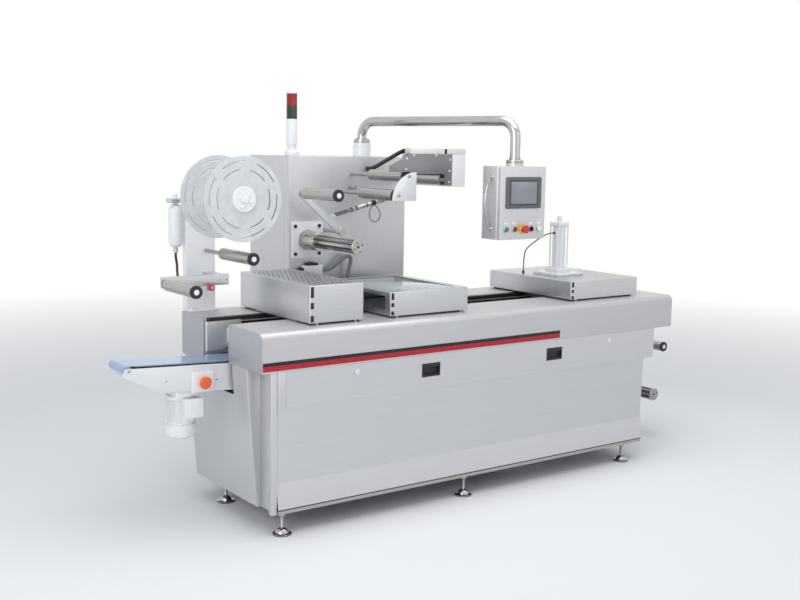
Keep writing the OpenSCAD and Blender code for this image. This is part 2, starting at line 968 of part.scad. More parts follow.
// Tower with its front tray, rear box and the cabinet below
module tower_housing() {
  y1 = body_depth + tray_depth;
  color("gainsboro") {
    hollow([tower_x, body_depth, deck_top + seat], [tower_x1, y1, tower_top], sheet);
    difference() {
      hollow([tower_x, y1 + seat, deck_top + seat], [tower_x1, tower_rear, tower_top], sheet);
      rod_z(arm_at[0], arm_at[1], tower_top - spigot_l, tower_top + cut, spigot_r + fit);
    }
    hollow([tower_x, body_depth + cabinet_gap, cabinet_z0], [tower_x1, tower_rear, deck_top], sheet);
    span(
      [tower_x, body_depth, deck_z - rear_sag - tube],
      [tower_x1, body_depth + cabinet_gap, deck_z - rear_sag - seat]
    );
    difference() {
      translate([arm_at[0], arm_at[1], tower_top + seat]) cylinder(h = socket_h - seat, r = socket_r);
      translate([arm_at[0], arm_at[1], tower_top]) cylinder(h = socket_h + cut, r = spigot_r + fit);
    }
  }
}

// Signal tower, its steps stacked from below
function sum_to(v, n) = n == 0 ? 0 : v[n - 1] + sum_to(v, n - 1);

module beacon() {
  shades = ["whitesmoke", "whitesmoke", "whitesmoke", "green", "red", "whitesmoke"];
  radii = [beacon_base_r, beacon_r - stud_r / 2, beacon_r, beacon_r, beacon_r, beacon_r];
  for (i = [0 : len(beacon_part_h) - 1])
    color(shades[i])
      translate([beacon_x, beacon_y, tower_top + seat + sum_to(beacon_part_h, i)])
        cylinder(h = beacon_part_h[i] - seat, r = radii[i]);
}

// Column that carries the scrap winder
module scrap_column() {
  x1 = column_x0 + column_w;
  color("gainsboro") {
    hollow(
      [column_x0, body_depth, deck_top + column_foot_t],
      [x1, body_depth + rack_t, deck_top + column_h],
      sheet
    );
    span(
      [column_x0, body_depth - column_foot_lap, deck_top + seat],
      [x1, body_depth + rack_t, deck_top + column_foot_t]
    );
    difference() {
      rod_y(winder_x, winder_z, body_depth - winder_bearing_l, body_depth, winder_bearing_r);
      rod_y(winder_x, winder_z, body_depth - winder_bearing_l - cut, body_depth + cut, winder_shaft_r + fit);
    }
  }
}

// Air preparation bottle on the column
module air_unit() {
  z1 = bottle_z0 + bottle_h;
  color("gainsboro") {
    translate([bottle_x, bottle_y, bottle_z0]) {
      cylinder(h = bottle_h, r = bottle_r);
      translate([0, 0, -bottle_neck_h]) cylinder(h = bottle_neck_h, r = bottle_neck_r);
      translate([0, 0, bottle_h]) cylinder(h = 2 * bottle_neck_h, r = bottle_neck_r);
    }
    span(
      [bottle_x - bottle_r, bottle_y - bottle_r, z1],
      [column_x0 - seat, bottle_y + bottle_r, z1 + bottle_neck_h]
    );
  }
}

module air_hose() {
  color("dimgray") cord(spline(air_route, 3), air_hose_r, 8, [1, 0, 0.1]);
}

// Brackets of the web path, the fixed damper body and the film sensor
module bearing(at) {
  difference() {
    union() {
      span(
        [at[0] - flange_side / 2, body_depth - seat - flange_t, at[1] - flange_side / 2],
        [at[0] + flange_side / 2, body_depth - seat, at[1] + flange_side / 2]
      );
      rod_y(at[0], at[1], body_depth - flange_t - housing_l, body_depth - flange_t, housing_r);
    }
    rod_y(at[0], at[1], body_depth - housing_l - 2 * flange_t, body_depth + cut, mandrel_shaft_r + fit);
  }
}

function damper_dir() = (stud_at - lug_at()) / norm(stud_at - lug_at());
function lug_at() = let (
  along = [cos(dancer_angle), sin(dancer_angle)],
  across = [sin(dancer_angle), -cos(dancer_angle)]
) dancer_at + lug_along * along + lug_off * across;
function spring_end() = lug_at() + spring_share * (stud_at - lug_at());

module web_brackets() {
  color("silver") {
    difference() {
      union() {
        span([plate_x0, plate_y1 - plate_t, plate_z0], [plate_x1, plate_y1, plate_z0 + plate_h]);
        span(
          [clamp_x - clamp_r, plate_y1 - plate_t, clamp_z - clamp_r],
          [clamp_x + clamp_r, plate_y1, plate_z0]
        );
      }
      rod_y(clamp_x, clamp_z, plate_y1 - plate_t - cut, plate_y1 + cut, fitting_r + fit);
    }
    span(
      [plate_x1 - block_w, plate_y1, plate_z0 + bolt_h],
      [plate_x1, body_depth - seat, plate_z0 + plate_h - bolt_h]
    );
    bearing(mandrel_at);
    plate_y(quarter_y0, quarter_y0 + quarter_t) intersection() {
      translate(quarter_at) circle(quarter_r);
      translate([quarter_at[0] - quarter_r, quarter_at[1]]) square([quarter_r, quarter_r]);
    }
    rod_y(stub_at[0], stub_at[1], body_depth - stub_l, body_depth - seat, stub_r);
    rod_y(stud_at[0], stud_at[1], damper_y, body_depth - seat, fitting_r);
  }
  color("dimgray") {
    d = damper_dir();
    translate([spring_end()[0], damper_y, spring_end()[1]]) rotate([0, 90 - atan2(d[1], d[0]), 0])
      cylinder(h = norm(stud_at - spring_end()), r = damper_r);
    span(
      [sensor_x0, body_depth - seat - sensor_d, sensor_z0],
      [sensor_x0 + sensor_w, body_depth - seat, sensor_z0 + sensor_h]
    );
  }
  color("silver") {
    difference() {
      span(
        [reel_plate_x0, body_depth, reel_plate_z0],
        [reel_plate_x0 + reel_plate_l, body_depth + reel_plate_t, reel_plate_z0 + reel_plate_h]
      );
      rod_y(bottom_at[0], bottom_at[1], body_depth - cut, body_depth + 3 * cut, mandrel_shaft_r + fit);
    }
    bearing(bottom_at);
  }
}

// Knob that clamps the lower left roller's plate
module clamp_knob() {
  y1 = plate_y1 - plate_t - seat;
  color("crimson") {
    rod_y(clamp_x, clamp_z, y1 - clamp_l, y1, clamp_r - ring_lip);
    rod_y(clamp_x, clamp_z, y1 - clamp_l - clamp_cap, plate_y1, fitting_r);
  }
}

// Fixed axles of the web rollers
module roller_axles() {
  color("silver") {
    for (p = [lower_at, upper_at]) rod_y(p[0], p[1], quarter_y0 + quarter_t, body_depth - seat, axle_r);
    rod_y(scrap_at[0], scrap_at[1], roller_y0, body_depth - seat, axle_r);
    rod_y(exit_at[0], exit_at[1], roller_y0, plate_y1 - plate_t - seat, axle_r);
    rod_y(head_at[0], head_at[1], head_y0 + head_t + seat, head_y1 - seat, axle_r);
    rod_y(bottom_roller_at[0], bottom_roller_at[1], roller_y0, body_depth - seat, axle_r);
  }
}

// Head that holds the film over the deck
module film_head() {
  x1 = head_x1;
  color("dimgray") {
    difference() {
      span([head_x0, head_y0, head_z0], [x1, head_y0 + head_t, head_z1]);
      span([head_x0 - cut, head_y0 - cut, head_z0 - cut], [head_cut_x, head_y0 + head_t + cut, head_cut_z]);
      span(
        [head_cut_x - cut, head_y0 - cut, head_z0 - cut],
        [x1 - head_strip_w, head_y0 + head_t + cut, head_slot_z]
      );
    }
    span([head_rear_x, head_y1, head_z0], [x1 + head_box_w, head_y1 + head_t, head_z1]);
    for (x = head_arm_x)
      span(
        [x, head_y1 + head_t, head_arm_z],
        [x + head_arm, body_depth - seat, head_arm_z + head_arm]
      );
  }
  color("whitesmoke") {
    hollow([x1 + seat, head_y0, head_z0 - fitting_r], [x1 + head_box_w, head_y1 - seat, head_z1], cover_wall);
    span(
      [head_top_x0, head_y0, head_z1 + seat],
      [head_rear_x + 2 * head_top_gap, head_y0 + head_lip, head_z1 + head_top_h]
    );
    hollow(
      [head_rear_x + head_top_gap, head_y0, head_z1 + seat],
      [x1 + head_box_w, head_y1 + head_t, head_z1 + head_top_h],
      cover_wall
    );
  }
}

// Sensor conduit, damper wire and ribbed conduit
module conduits() {
  color("gray") {
    cord(spline(sensor_route, 2), air_hose_r + hose_r, 8, [0, 1, 0.1]);
    rib_line = spline(rib_conduit_route, 6);
    last = len(rib_line) - 1;
    radii = [for (i = [0 : last]) rib_r - (i > 1 && i < last - 1 ? rib_deep * (i % 2) : 0)];
    ribbed(rib_line, radii, rib_bore, 8, [0.3, 0, 1]);
  }
  color("black") cord(spline(wire_route, 3), hose_r / 2, 8, [0, 1, 0.05]);
}

// Discharge conveyor
conv_top_z = nose_z0 + nose_h;
drum_at = [nose_x + drum_in, conv_top_z - belt_t - drum_r - seat];
tail_at = [conv_x1 - drum_in, conv_top_z - conv_rise - belt_t - drum_r];

module side_outline() {
  polygon([
    [nose_x, nose_z0], [nose_x, conv_top_z], [conv_x1, conv_top_z - conv_rise],
    [conv_x1, conv_low_z], [body_x0 - 2 * corner_w, conv_low_z], [nose_x + knee_in, knee_z]
  ]);
}

module conveyor_frame() {
  color("whitesmoke") {
    difference() {
      for (y = [conv_y0, conv_y1 - conv_t]) plate_y(y, y + conv_t) side_outline();
      for (p = [drum_at, tail_at]) rod_y(p[0], p[1], conv_y0 - cut, conv_y1 + cut, drum_axle_r + fit);
    }
    d = tail_at - drum_at;
    plate_y(conv_y0 + conv_t - seat, conv_y1 - conv_t + seat)
      translate(drum_at) rotate(atan2(d[1], d[0]))
        translate([3 * drum_r, 0]) square([norm(d) - 6 * drum_r, slider_t]);
    plate_y(conv_y0 + conv_t - seat, conv_y1 - conv_t + seat)
      translate([motor_at[0] - gear_side / 2, knee_z]) square([gear_side, slider_t]);
    difference() {
      span(
        [knob_at[0] - switch_w / 2, conv_y0 - seat - switch_d, knob_at[1] - switch_h / 2],
        [knob_at[0] + switch_w / 2, conv_y0 - seat, knob_at[1] + switch_h / 2]
      );
      rod_y(knob_at[0], knob_at[1], conv_y0 - 2 * switch_d, conv_y0 + cut, knob_stem_r + fit);
    }
  }
}

module conveyor_belt() {
  d = tail_at - drum_at;
  color("lightsteelblue")
    plate_y(conv_y0 + conv_t + belt_gap, conv_y1 - conv_t - belt_gap)
      translate(drum_at) rotate(atan2(d[1], d[0])) difference() {
        race([0, 0], [norm(d), 0], drum_r + belt_t);
        race([0, 0], [norm(d), 0], drum_r + seat);
      }
}

module conveyor_motor() {
  z1 = conv_low_z;
  color("lightslategray") {
    gear_y0 = conv_y0 + conv_t + gear_gap;
    gear_y1 = conv_y1 - conv_t - gear_gap;
    span([motor_at[0] - gear_side / 2, gear_y0, z1], [motor_at[0] + gear_side / 2, gear_y1, knee_z - seat]);
    translate([motor_at[0], motor_at[1], z1 - motor_h]) {
      cylinder(h = motor_h, r = motor_r - fin_out);
      for (k = [1 : fin_count])
        rotate(360 * k / fin_count)
          translate([0, -fin_w / 2, motor_h / 8]) cube([motor_r, fin_w, motor_h * 3 / 4]);
    }
    translate([motor_at[0], motor_at[1], z1 - motor_h - cowl_h]) {
      translate([0, 0, cowl_round]) cylinder(h = cowl_h - cowl_round, r = cowl_r);
      cylinder(h = cowl_round, r1 = cowl_r - cowl_round, r2 = cowl_r);
    }
  }
  term_y1 = motor_at[1] - motor_r + fin_out;
  term_z1 = z1 - term_gap;
  term_x0 = motor_at[0] - term_left;
  color("whitesmoke")
    span(
      [term_x0, term_y1 - term_d, term_z1 - term_h],
      [term_x0 + term_w, term_y1, term_z1]
    );
}

// Heated upper plates on their bridges over the film lane
module upper_tool(x, l) {
  y0 = lane_front - bridge_lap;
  y1 = lane_rear + bridge_lap;
  span([x, y0, deck_top + seat], [x + l, y1, deck_top + upper_t]);
  span(
    [x + die_wall, lane_front + guide_w + die_gap, deck_top - upper_h],
    [x + l - die_wall, lane_rear - guide_w - die_gap, deck_top + seat]
  );
}

cutter_share = 0.9;
die_share = 0.8;
die_l = [cutter_share * cutting_l, die_share * sealing_l, die_share * forming_l];
die_x = [
  cutting_x + (cutting_l - die_l[0]) / 2, sealing_x + (sealing_l - die_l[1]) / 2,
  forming_x + (forming_l - die_l[2]) / 2
];

module upper_tools() {
  color("silver") {
    upper_tool(die_x[1], die_l[1]);
    upper_tool(die_x[2], die_l[2]);
    y0 = lane_front - bridge_lap;
    y1 = lane_rear + bridge_lap;
    for (x = [die_x[0], die_x[0] + die_l[0] - tube])
      span(
        [x, y0, deck_top + seat],
        [x + tube, y1, deck_top + upper_t]
      );
  }
}

// Lower tools: a block with pockets on two guide rods
die_y0 = lane_front + guide_w + die_gap;
die_y1 = lane_rear - guide_w - die_gap;
die_z1 = film_z - die_gap;
rod_z0 = die_z1 - die_h - rod_l;

module die_rods(i) {
  for (x = [die_x[i] + rod_in, die_x[i] + die_l[i] - rod_in])
    rod_z(x, (die_y0 + die_y1) / 2, rod_z0, die_z1 - die_h, rod_r);
}

module rod_z(x, y, z0, z1, r) {
  translate([x, y, z0]) cylinder(h = z1 - z0, r = r);
}

module die(i, deep, count) {
  pocket = (die_l[i] - die_wall) / count - die_wall;
  difference() {
    span([die_x[i], die_y0, die_z1 - die_h], [die_x[i] + die_l[i], die_y1, die_z1]);
    for (k = [0 : count - 1])
      span(
        [die_x[i] + die_wall + k * (pocket + die_wall), die_y0 + die_wall, die_z1 - deep],
        [die_x[i] + (k + 1) * (pocket + die_wall), die_y1 - die_wall, die_z1 + cut]
      );
  }
  die_rods(i);
}

module forming_die() {
  color("silver") die(2, pocket_deep, 2);
}

module sealing_die() {
  color("silver") die(1, pocket_deep, 2);
}

module cross_cutter() {
  mid = die_x[0] + die_l[0] / 2;
  color("silver") {
    span([die_x[0], die_y0, die_z1 - die_h], [die_x[0] + die_l[0], die_y1, die_z1 - die_h / 2]);
    span([mid - knife_t / 2, die_y0, die_z1 - die_h / 2], [mid + knife_t / 2, die_y1, die_z1]);
    die_rods(0);
  }
}

// Lift beams with the bushes of the guide rods, chain motor and vacuum pump
module drive_units() {
  y1 = foot_rows - tube / 2 - seat;
  y2 = lane_front - sheet;
  color("slategray") {
    for (i = [0, 1, 2])
      difference() {
        union() {
          span(
            [die_x[i], lane_front - bridge_lap, deck_z - beam_t],
            [die_x[i] + die_l[i], y1, deck_z - seat]
          );
          for (x = [die_x[i] + rod_in, die_x[i] + die_l[i] - rod_in])
            rod_z(x, (die_y0 + die_y1) / 2, deck_z - bush_h, deck_z - seat, bush_r);
        }
        for (x = [die_x[i] + rod_in, die_x[i] + die_l[i] - rod_in])
          rod_z(x, (die_y0 + die_y1) / 2, deck_z - bush_h - cut, deck_z + cut, rod_r + fit);
      }
    difference() {
      rod_y(chain_x1, chain_z - chain_r, y2 - seat - gear_motor_l, y2 - seat, gear_motor_r);
      rod_y(chain_x1, chain_z - chain_r, y2 - gear_motor_l / 2, lane_front + cut, shaft_r + fit);
    }
    x0 = foot_x[1] + tube;
    z0 = frame_z + tube + seat;
    span([x0, frame_y0, z0], [x0 + pump_l, foot_rows + tube / 2, z0 + sheet]);
    span([x0, frame_y0 + tube, z0 + sheet], [x0 + pump_l, frame_y0 + tube + pump_d, z0 + pump_h]);
  }
}

module drive_shaft() {
  z = chain_z - chain_r;
  color("silver") {
    rod_y(chain_x1, z, lane_front - sheet - gear_motor_l / 2 + seat, lane_rear + sheet - seat, shaft_r);
    for (y = chain_y)
      rod_y(chain_x1, z, y, y + chain_w, chain_r - seat);
  }
}

// Heads of the bolts and screws that show
module screws() {
  h = flange_side / 2 - bolt_in;
  y1 = body_depth - seat - flange_t;
  color("silver") {
    for (p = [mandrel_at, bottom_at], i = [-1, 1], k = [-1, 1])
      rod_y(p[0] + i * h, p[1] + k * h, y1 - bolt_h, y1, bolt_r);
    for (p = head_bolt_share)
      rod_y(mix(head_x0, head_x1, p[0]), mix(head_z0, head_z1, p[1]), head_y0 - bolt_h, head_y0, bolt_r / 2);
    for (x = [plate_x1 - block_w + bolt_in / 2, plate_x1 - bolt_in / 2])
      rod_y(x, plate_z0 + plate_h / 2, plate_y1 - plate_t - bolt_h, plate_y1 - plate_t, bolt_r / 2);
    for (p = [lower_at, upper_at]) rod_y(p[0], p[1], quarter_y0 - bolt_h, quarter_y0, bolt_r);
    for (y = [face_y + 2 * rib_h, lane_front - rib_h], z = [deck_z + 2 * rib_h, deck_top - 2 * rib_h])
      rod_x(y, z, deck_x0 - seat - cap_t - stripe_t, deck_x0 - seat - cap_t, bolt_r / 2);
  }
}

// Flap under the deck, with two recessed handles, hinged along its lower edge
module front_flap() {
  y1 = face_y + sheet;
  color("gainsboro")
    difference() {
      union() {
        span([flap_x0, face_y, flap_z + sheet], [flap_x1, y1, deck_z - 2 * seat]);
        rod_x(y1, flap_z + sheet, flap_x0, flap_x1 - flap_corner_r - seat, sheet);
        for (x = handle_x)
          span(
            [x - handle_w / 2 - sheet, y1, handle_z - handle_h / 2 - sheet],
            [x + handle_w / 2 + sheet, y1 + handle_deep, handle_z + handle_h / 2 + sheet]
          );
      }
      for (x = handle_x)
        span(
          [x - handle_w / 2, face_y - cut, handle_z - handle_h / 2],
          [x + handle_w / 2, y1 + handle_deep - sheet, handle_z + handle_h / 2]
        );
      difference() {
        span(
          [flap_x1 - flap_corner_r, face_y - cut, flap_z - cut],
          [flap_x1 + cut, y1 + cut, flap_z + flap_corner_r]
        );
        rod_y(flap_x1 - flap_corner_r, flap_z + flap_corner_r, face_y - 2 * cut, y1 + 2 * cut, flap_corner_r);
      }
      rod_y(lock_x, lock_z, face_y - cut, y1 + cut, lock_r + fit);
    }
  color("whitesmoke") rod_y(lock_left_x, lock_z, face_y - lock_out, y1 + lock_out, lock_r);
}

module flap_lock() {
  color("whitesmoke")
    difference() {
      rod_y(lock_x, lock_z, face_y - lock_out, face_y + sheet + lock_out, lock_r);
      span(
        [lock_x - lock_r / 2, face_y - lock_out - cut, lock_z - lock_r / 8],
        [lock_x + lock_r / 2, face_y - lock_out / 2, lock_z + lock_r / 8]
      );
    }
}

// Cover with an inner lip, on four pins
module cover_box(x, l, h, d) {
  y1 = cover_front + d;
  difference() {
    span([x, cover_front, cover_z0], [x + l, y1, cover_z0 + h]);
    span([x + lip, cover_front + lip, cover_z0 - cut], [x + l - lip, y1 - lip, cover_z0 + cut]);
    span(
      [x + cover_wall, cover_front + cover_wall, cover_z0 + cover_wall],
      [x + l - cover_wall, y1 - cover_wall, cover_z0 + h - cover_wall]
    );
  }
  for (px = [x + pin_in, x + l - pin_in], py = [cover_front + lip / 2, y1 - lip / 2])
    rod_z(px, py, deck_top + seat, cover_z0 + cover_wall, pin_r);
}

module cover_cutting() {
  z1 = cover_z0 + cutting_h;
  nx = floor((cutting_l - 2 * lip) / perf_pitch);
  ny = floor((deep_cover_depth - 2 * lip) / perf_pitch);
  color("gainsboro")
    difference() {
      cover_box(cutting_x, cutting_l, cutting_h, deep_cover_depth);
      for (i = [1 : nx - 1], k = [1 : ny - 1])
        translate([
          cutting_x + lip + (i + k % 2 / 2) * perf_pitch,
          cover_front + lip + k * perf_pitch, z1 - cut
        ])
          cylinder(h = 2 * cut, r = perf_r);
    }
}

module cover_sealing() {
  z1 = cover_z0 + sealing_h;
  y1 = cover_front + cover_depth;
  x1 = sealing_x + sealing_l;
  step = (sealing_l - 2 * window_rim) / slot_count;
  color("gainsboro")
    difference() {
      cover_box(sealing_x, sealing_l, sealing_h, cover_depth);
      span(
        [sealing_x + window_rim, cover_front + window_rim, z1 - cover_wall - cut],
        [x1 - window_rim, y1 - window_rim, z1 + cut]
      );
      span(
        [sealing_x - cut, cover_front + window_rim, cover_z0 + window_rim / 2],
        [sealing_x + cover_wall + cut, y1 - window_rim, z1 - window_rim / 2]
      );
      for (i = [0 : slot_count - 1], y = [cover_front + window_rim / 2, y1 - window_rim / 2])
        span(
          [sealing_x + window_rim + i * step, y - slot_w / 2, z1 - cover_wall - cut],
          [sealing_x + window_rim + i * step + slot_l, y + slot_w / 2, z1 + cut]
        );
    }
}

module sealing_window() {
  rim = window_rim - slot_w;
  z1 = cover_z0 + sealing_h;
  color("lightcyan")
    span(
      [sealing_x + rim, cover_front + rim, z1 - 2 * cover_wall - seat],
      [sealing_x + sealing_l - rim, cover_front + cover_depth - rim, z1 - cover_wall - seat]
    );
}

module cover_forming() {
  z1 = cover_z0 + forming_h;
  step = (forming_l + louvre_l / 2 - lip) / louvre_count;
  color("gainsboro")
    difference() {
      cover_box(forming_x, forming_l, forming_h, deep_cover_depth);
      intersection() {
        span(
          [forming_x + lip, cover_front + lip, z1 - cut],
          [forming_x + forming_l - lip, cover_front + deep_cover_depth - lip, z1 + cut]
        );
        for (i = [1 : louvre_count])
          translate([forming_x + lip + i * step, cover_front, z1 - cut])
            rotate(louvre_angle)
            cube([louvre_w, louvre_l, 2 * cut]);
      }
    }
}

// Plug assist cylinder on its base plate
module plug_cylinder() {
  z0 = cover_z0 + forming_h + seat;
  z1 = z0 + plug_plate_t;
  b = plug_base / 2;
  c = plug_cap / 2;
  color("whitesmoke") {
    x0 = plug_x - plug_plate_l * plug_left_share;
    span([x0, plug_y - plug_plate_d / 2, z0], [x0 + plug_plate_l, plug_y + plug_plate_d / 2, z1]);
    span([plug_x - b, plug_y - b, z1], [plug_x + b, plug_y + b, z1 + plug_cap_h]);
    rod_z(plug_x, plug_y, z1 + plug_cap_h, z1 + plug_h - plug_cap_h, plug_barrel_r);
    span([plug_x - c, plug_y - c, z1 + plug_h - plug_cap_h], [plug_x + c, plug_y + c, z1 + plug_h]);
    for (i = [-1, 1], k = [-1, 1])
      rod_z(plug_x + i * (c - tie_r), plug_y + k * (c - tie_r), z1, z1 + plug_h + tie_r, tie_r);
    for (i = plug_bolt_x_share, k = plug_bolt_y_share)
      rod_z(plug_x + i * plug_plate_l, plug_y + k * plug_plate_d, z1, z1 + 2 * fitting_h, tie_r);
    rod_z(plug_x, plug_y, z1 + plug_h, z1 + plug_h + plug_nozzle_h, plug_nozzle_r);
    rod_z(cylinder_route[0][0], cylinder_route[0][1], z0, cylinder_route[0][2], fitting_r);
  }
}

module cylinder_hose() {
  color("rosybrown") cord(spline(cylinder_route, 4), hose_r, 8, [1, 1, 0.2]);
}

// Web rollers: a tube on its axle with a rim at the front
module roller(at, y0, y1, r) {
  difference() {
    union() {
      rod_y(at[0], at[1], y0, y1, r);
      rod_y(at[0], at[1], y0, y0 + ring_l, r + ring_lip);
    }
    rod_y(at[0], at[1], y0 - cut, y1 + cut, axle_r + fit);
  }
}

module scrap_roller() {
  color("silver") roller(scrap_at, roller_y0 + seat, roller_y1, roller_r);
}

module exit_roller() {
  color("silver") roller(exit_at, roller_y0 + seat, roller_y1, roller_r);
}

module dancer_roller() {
  color("silver") roller(dancer_end(), roller_y0 + seat, roller_y1, roller_r);
}

module lower_roller() {
  color("silver") roller(lower_at, roller_y0, roller_y1, roller_r);
}

module upper_roller() {
  color("silver") roller(upper_at, roller_y0, roller_y1, roller_r);
}

module head_roller() {
  y0 = head_y0 + head_t + fitting_h;
  color("whitesmoke") roller(head_at, y0, roller_y1 - fitting_r, roller_r - ring_lip);
}

module bottom_roller() {
  color("silver") roller(bottom_roller_at, roller_y0 + seat, roller_y1, roller_r);
}

// Dancer arm with its pivot shaft, its lug and the axle of its roller
function dancer_end() = dancer_at + dancer_l * [cos(dancer_angle), sin(dancer_angle)];

module dancer_arm() {
  e = dancer_end();
  g = lug_at();
  y1 = dancer_y0 + dancer_t;
  color("silver") {
    plate_y(dancer_y0, y1) {
      race(dancer_at, e, dancer_w / 2);
      translate(dancer_at) circle(dancer_boss_r);
      race(dancer_at + (lug_along / dancer_l) * (e - dancer_at), g, lug_r);
    }
    rod_y(dancer_at[0], dancer_at[1], y1, body_depth - seat, dancer_shaft_r);
    rod_y(e[0], e[1], roller_y0, dancer_y0, axle_r);
    rod_y(g[0], g[1], y1, damper_y + damper_r / 2, fitting_r);
  }
}

// Damper spring, one unbroken wire with straight ends
spring_a = lug_at() + (fitting_r + seat) * damper_dir();
spring_b = spring_end() - seat * damper_dir();
spring_len = norm(spring_b - spring_a);

function spring_line() = let (
  d = damper_dir(),
  n = [-d[1], d[0]],
  s = 2 * spring_wire,
  body = spring_len - 2 * s,
  k = spring_turns * 8
) concat(
  [[spring_a[0], damper_y, spring_a[1]]],
  [for (i = [0 : k]) let (
    a = 360 * i / 8,
    w = spring_r * min(1, i / 4, (k - i) / 4),
    c = spring_a + (s + body * i / k) * d + w * cos(a) * n
  ) [c[0], damper_y + w * sin(a), c[1]]],
  [[spring_b[0], damper_y, spring_b[1]]]
);

echo(spring_gap = (spring_len - 4 * spring_wire) / spring_turns - spring_wire);

module dancer_spring() {
  d = damper_dir();
  color("dimgray") cord(spring_line(), spring_wire / 2, 6, [d[0], 0.01, d[1]]);
}

// Ribbed expanding shafts for the film rolls
module mandrel(at) {
  y1 = body_depth - seat - flange_t - housing_l;
  rod_y(at[0], at[1], mandrel_y0, y1, mandrel_r - mandrel_rib_out);
  rod_y(at[0], at[1], mandrel_y0 - mandrel_cap_t, mandrel_y0, mandrel_r + 2 * ring_lip);
  rod_y(at[0], at[1], y1, body_depth - cut, mandrel_shaft_r);
  for (k = [1 : mandrel_ribs])
    translate([at[0], mandrel_y0, at[1]]) rotate([0, 360 * k / mandrel_ribs, 0])
      translate([-mandrel_rib_w / 2, 0, mandrel_r - 2 * mandrel_rib_out])
        cube([mandrel_rib_w, y1 - mandrel_y0, 2 * mandrel_rib_out]);
}

module top_mandrel() {
  color("silver") mandrel(mandrel_at);
}

module bottom_mandrel() {
  color("silver") mandrel(bottom_at);
}

// Scrap winder
module winder_discs() {
  color("lightcyan")
    for (y = [winder_y0, winder_y1])
      difference() {
        rod_y(winder_x, winder_z, y, y + disc_t, disc_r);
        rod_y(winder_x, winder_z, y - cut, y + disc_t + cut, winder_shaft_r + seat);
        for (share = slot_share, k = [1 : winder_slots])
          translate([winder_x, y + disc_t + cut, winder_z]) rotate([90, 0, 0])
            rotate(360 * k / winder_slots + winder_twist_deg * share) rotate_extrude(angle = winder_slot_deg)
              translate([share * disc_r - winder_slot_w / 2, 0]) square([winder_slot_w, disc_t + 2 * cut]);
      }
}

module winder_hub() {
  color("whitesmoke") {
    rod_y(winder_x, winder_z, winder_y0 + disc_t, winder_y1, winder_hub_r);
    rod_y(winder_x, winder_z, winder_y0, body_depth - seat, winder_shaft_r);
    rod_y(winder_x, winder_z, winder_y0 - winder_cap_t, winder_y0 - seat, winder_cap_r);
    rod_y(winder_x, winder_z, winder_y0 - winder_knob_l, winder_y0, winder_knob_r);
    for (at = winder_nut_at)
      rod_y(
        winder_x + at[0], winder_z + at[1],
        winder_y0 - winder_nut_l, winder_y0 - winder_cap_t, winder_nut_r
      );
  }
}

// Swivel arm of bent tube
module arm_line(r) {
  top = arm_z;
  run = arm_reach - 2 * arm_bend;
  z0 = tower_top + socket_h + arm_flange_h;
  z1 = box_z1 + neck_h + arm_collar_h;
  translate([0, 0, z0]) cylinder(h = top - arm_bend - z0, r = r);
  translate([arm_bend, 0, top - arm_bend]) rotate([90, 0, 0]) rotate_extrude_at(90, r);
  translate([arm_bend, 0, top]) rotate([0, 90, 0]) cylinder(h = run, r = r);
  translate([arm_bend + run, 0, top - arm_bend]) rotate([90, 0, 0]) rotate_extrude_at(0, r);
  translate([arm_reach, 0, z1]) cylinder(h = top - arm_bend - z1, r = r);
}

module rotate_extrude_at(start, r) {
  rotate(start) rotate_extrude(angle = 90) translate([arm_bend, 0]) circle(r);
}

module control_arm() {
  z0 = tower_top + socket_h;
  color("silver")
    translate([arm_at[0], arm_at[1], 0]) {
      rotate(arm_angle) {
        arm_line(arm_r);
        translate([arm_reach, 0, box_z1 + neck_h]) {
          cylinder(h = arm_collar_h, r = neck_r);
          translate([0, 0, arm_collar_h]) cylinder(h = arm_collar_h, r = arm_r + arm_wall);
          translate([0, 0, seat - neck_h]) cylinder(h = neck_h, r = neck_bore_r);
        }
      }
      translate([0, 0, z0]) cylinder(h = arm_flange_h, r = arm_flange_r);
      translate([0, 0, z0 - spigot_l - socket_h / 2]) cylinder(h = spigot_l + socket_h / 2, r = spigot_r);
    }
}

// Control box with its lid, bow handle, bezels and label plates
button_x = [for (k = [-2 : 2]) box_at[0] + k * button_pitch];

module control_box() {
  x1 = box_x1;
  y1 = box_y0 + box_d;
  yb = (box_y0 + y1) / 2;
  zb = box_z0 + (box_h - bow_h) / 2;
  color("gainsboro") {
    hollow([box_x0, box_y0 + box_lid + seat, box_z0], [x1, y1, box_z1], cover_wall);
    difference() {
      span([box_x0, box_y0, box_z0], [x1, box_y0 + box_lid, box_z1]);
      rod_y(button_x[2], button_z, box_y0 - cut, box_y0 + box_lid / 2, estop_stem_r + 2 * seat);
    }
    difference() {
      translate([box_at[0], box_at[1], box_z1]) cylinder(h = neck_h - seat, r = neck_r);
      translate([box_at[0], box_at[1], box_z1 - cut]) cylinder(h = neck_h + 2 * cut, r = neck_bore_r + fit);
    }
    for (z = [zb, zb + bow_h]) rod_x(yb, z, box_x0 - bow_out, box_x0, bow_r);
    rod_z(box_x0 - bow_out, yb, zb - bow_r, zb + bow_h + bow_r, bow_r);
  }
}

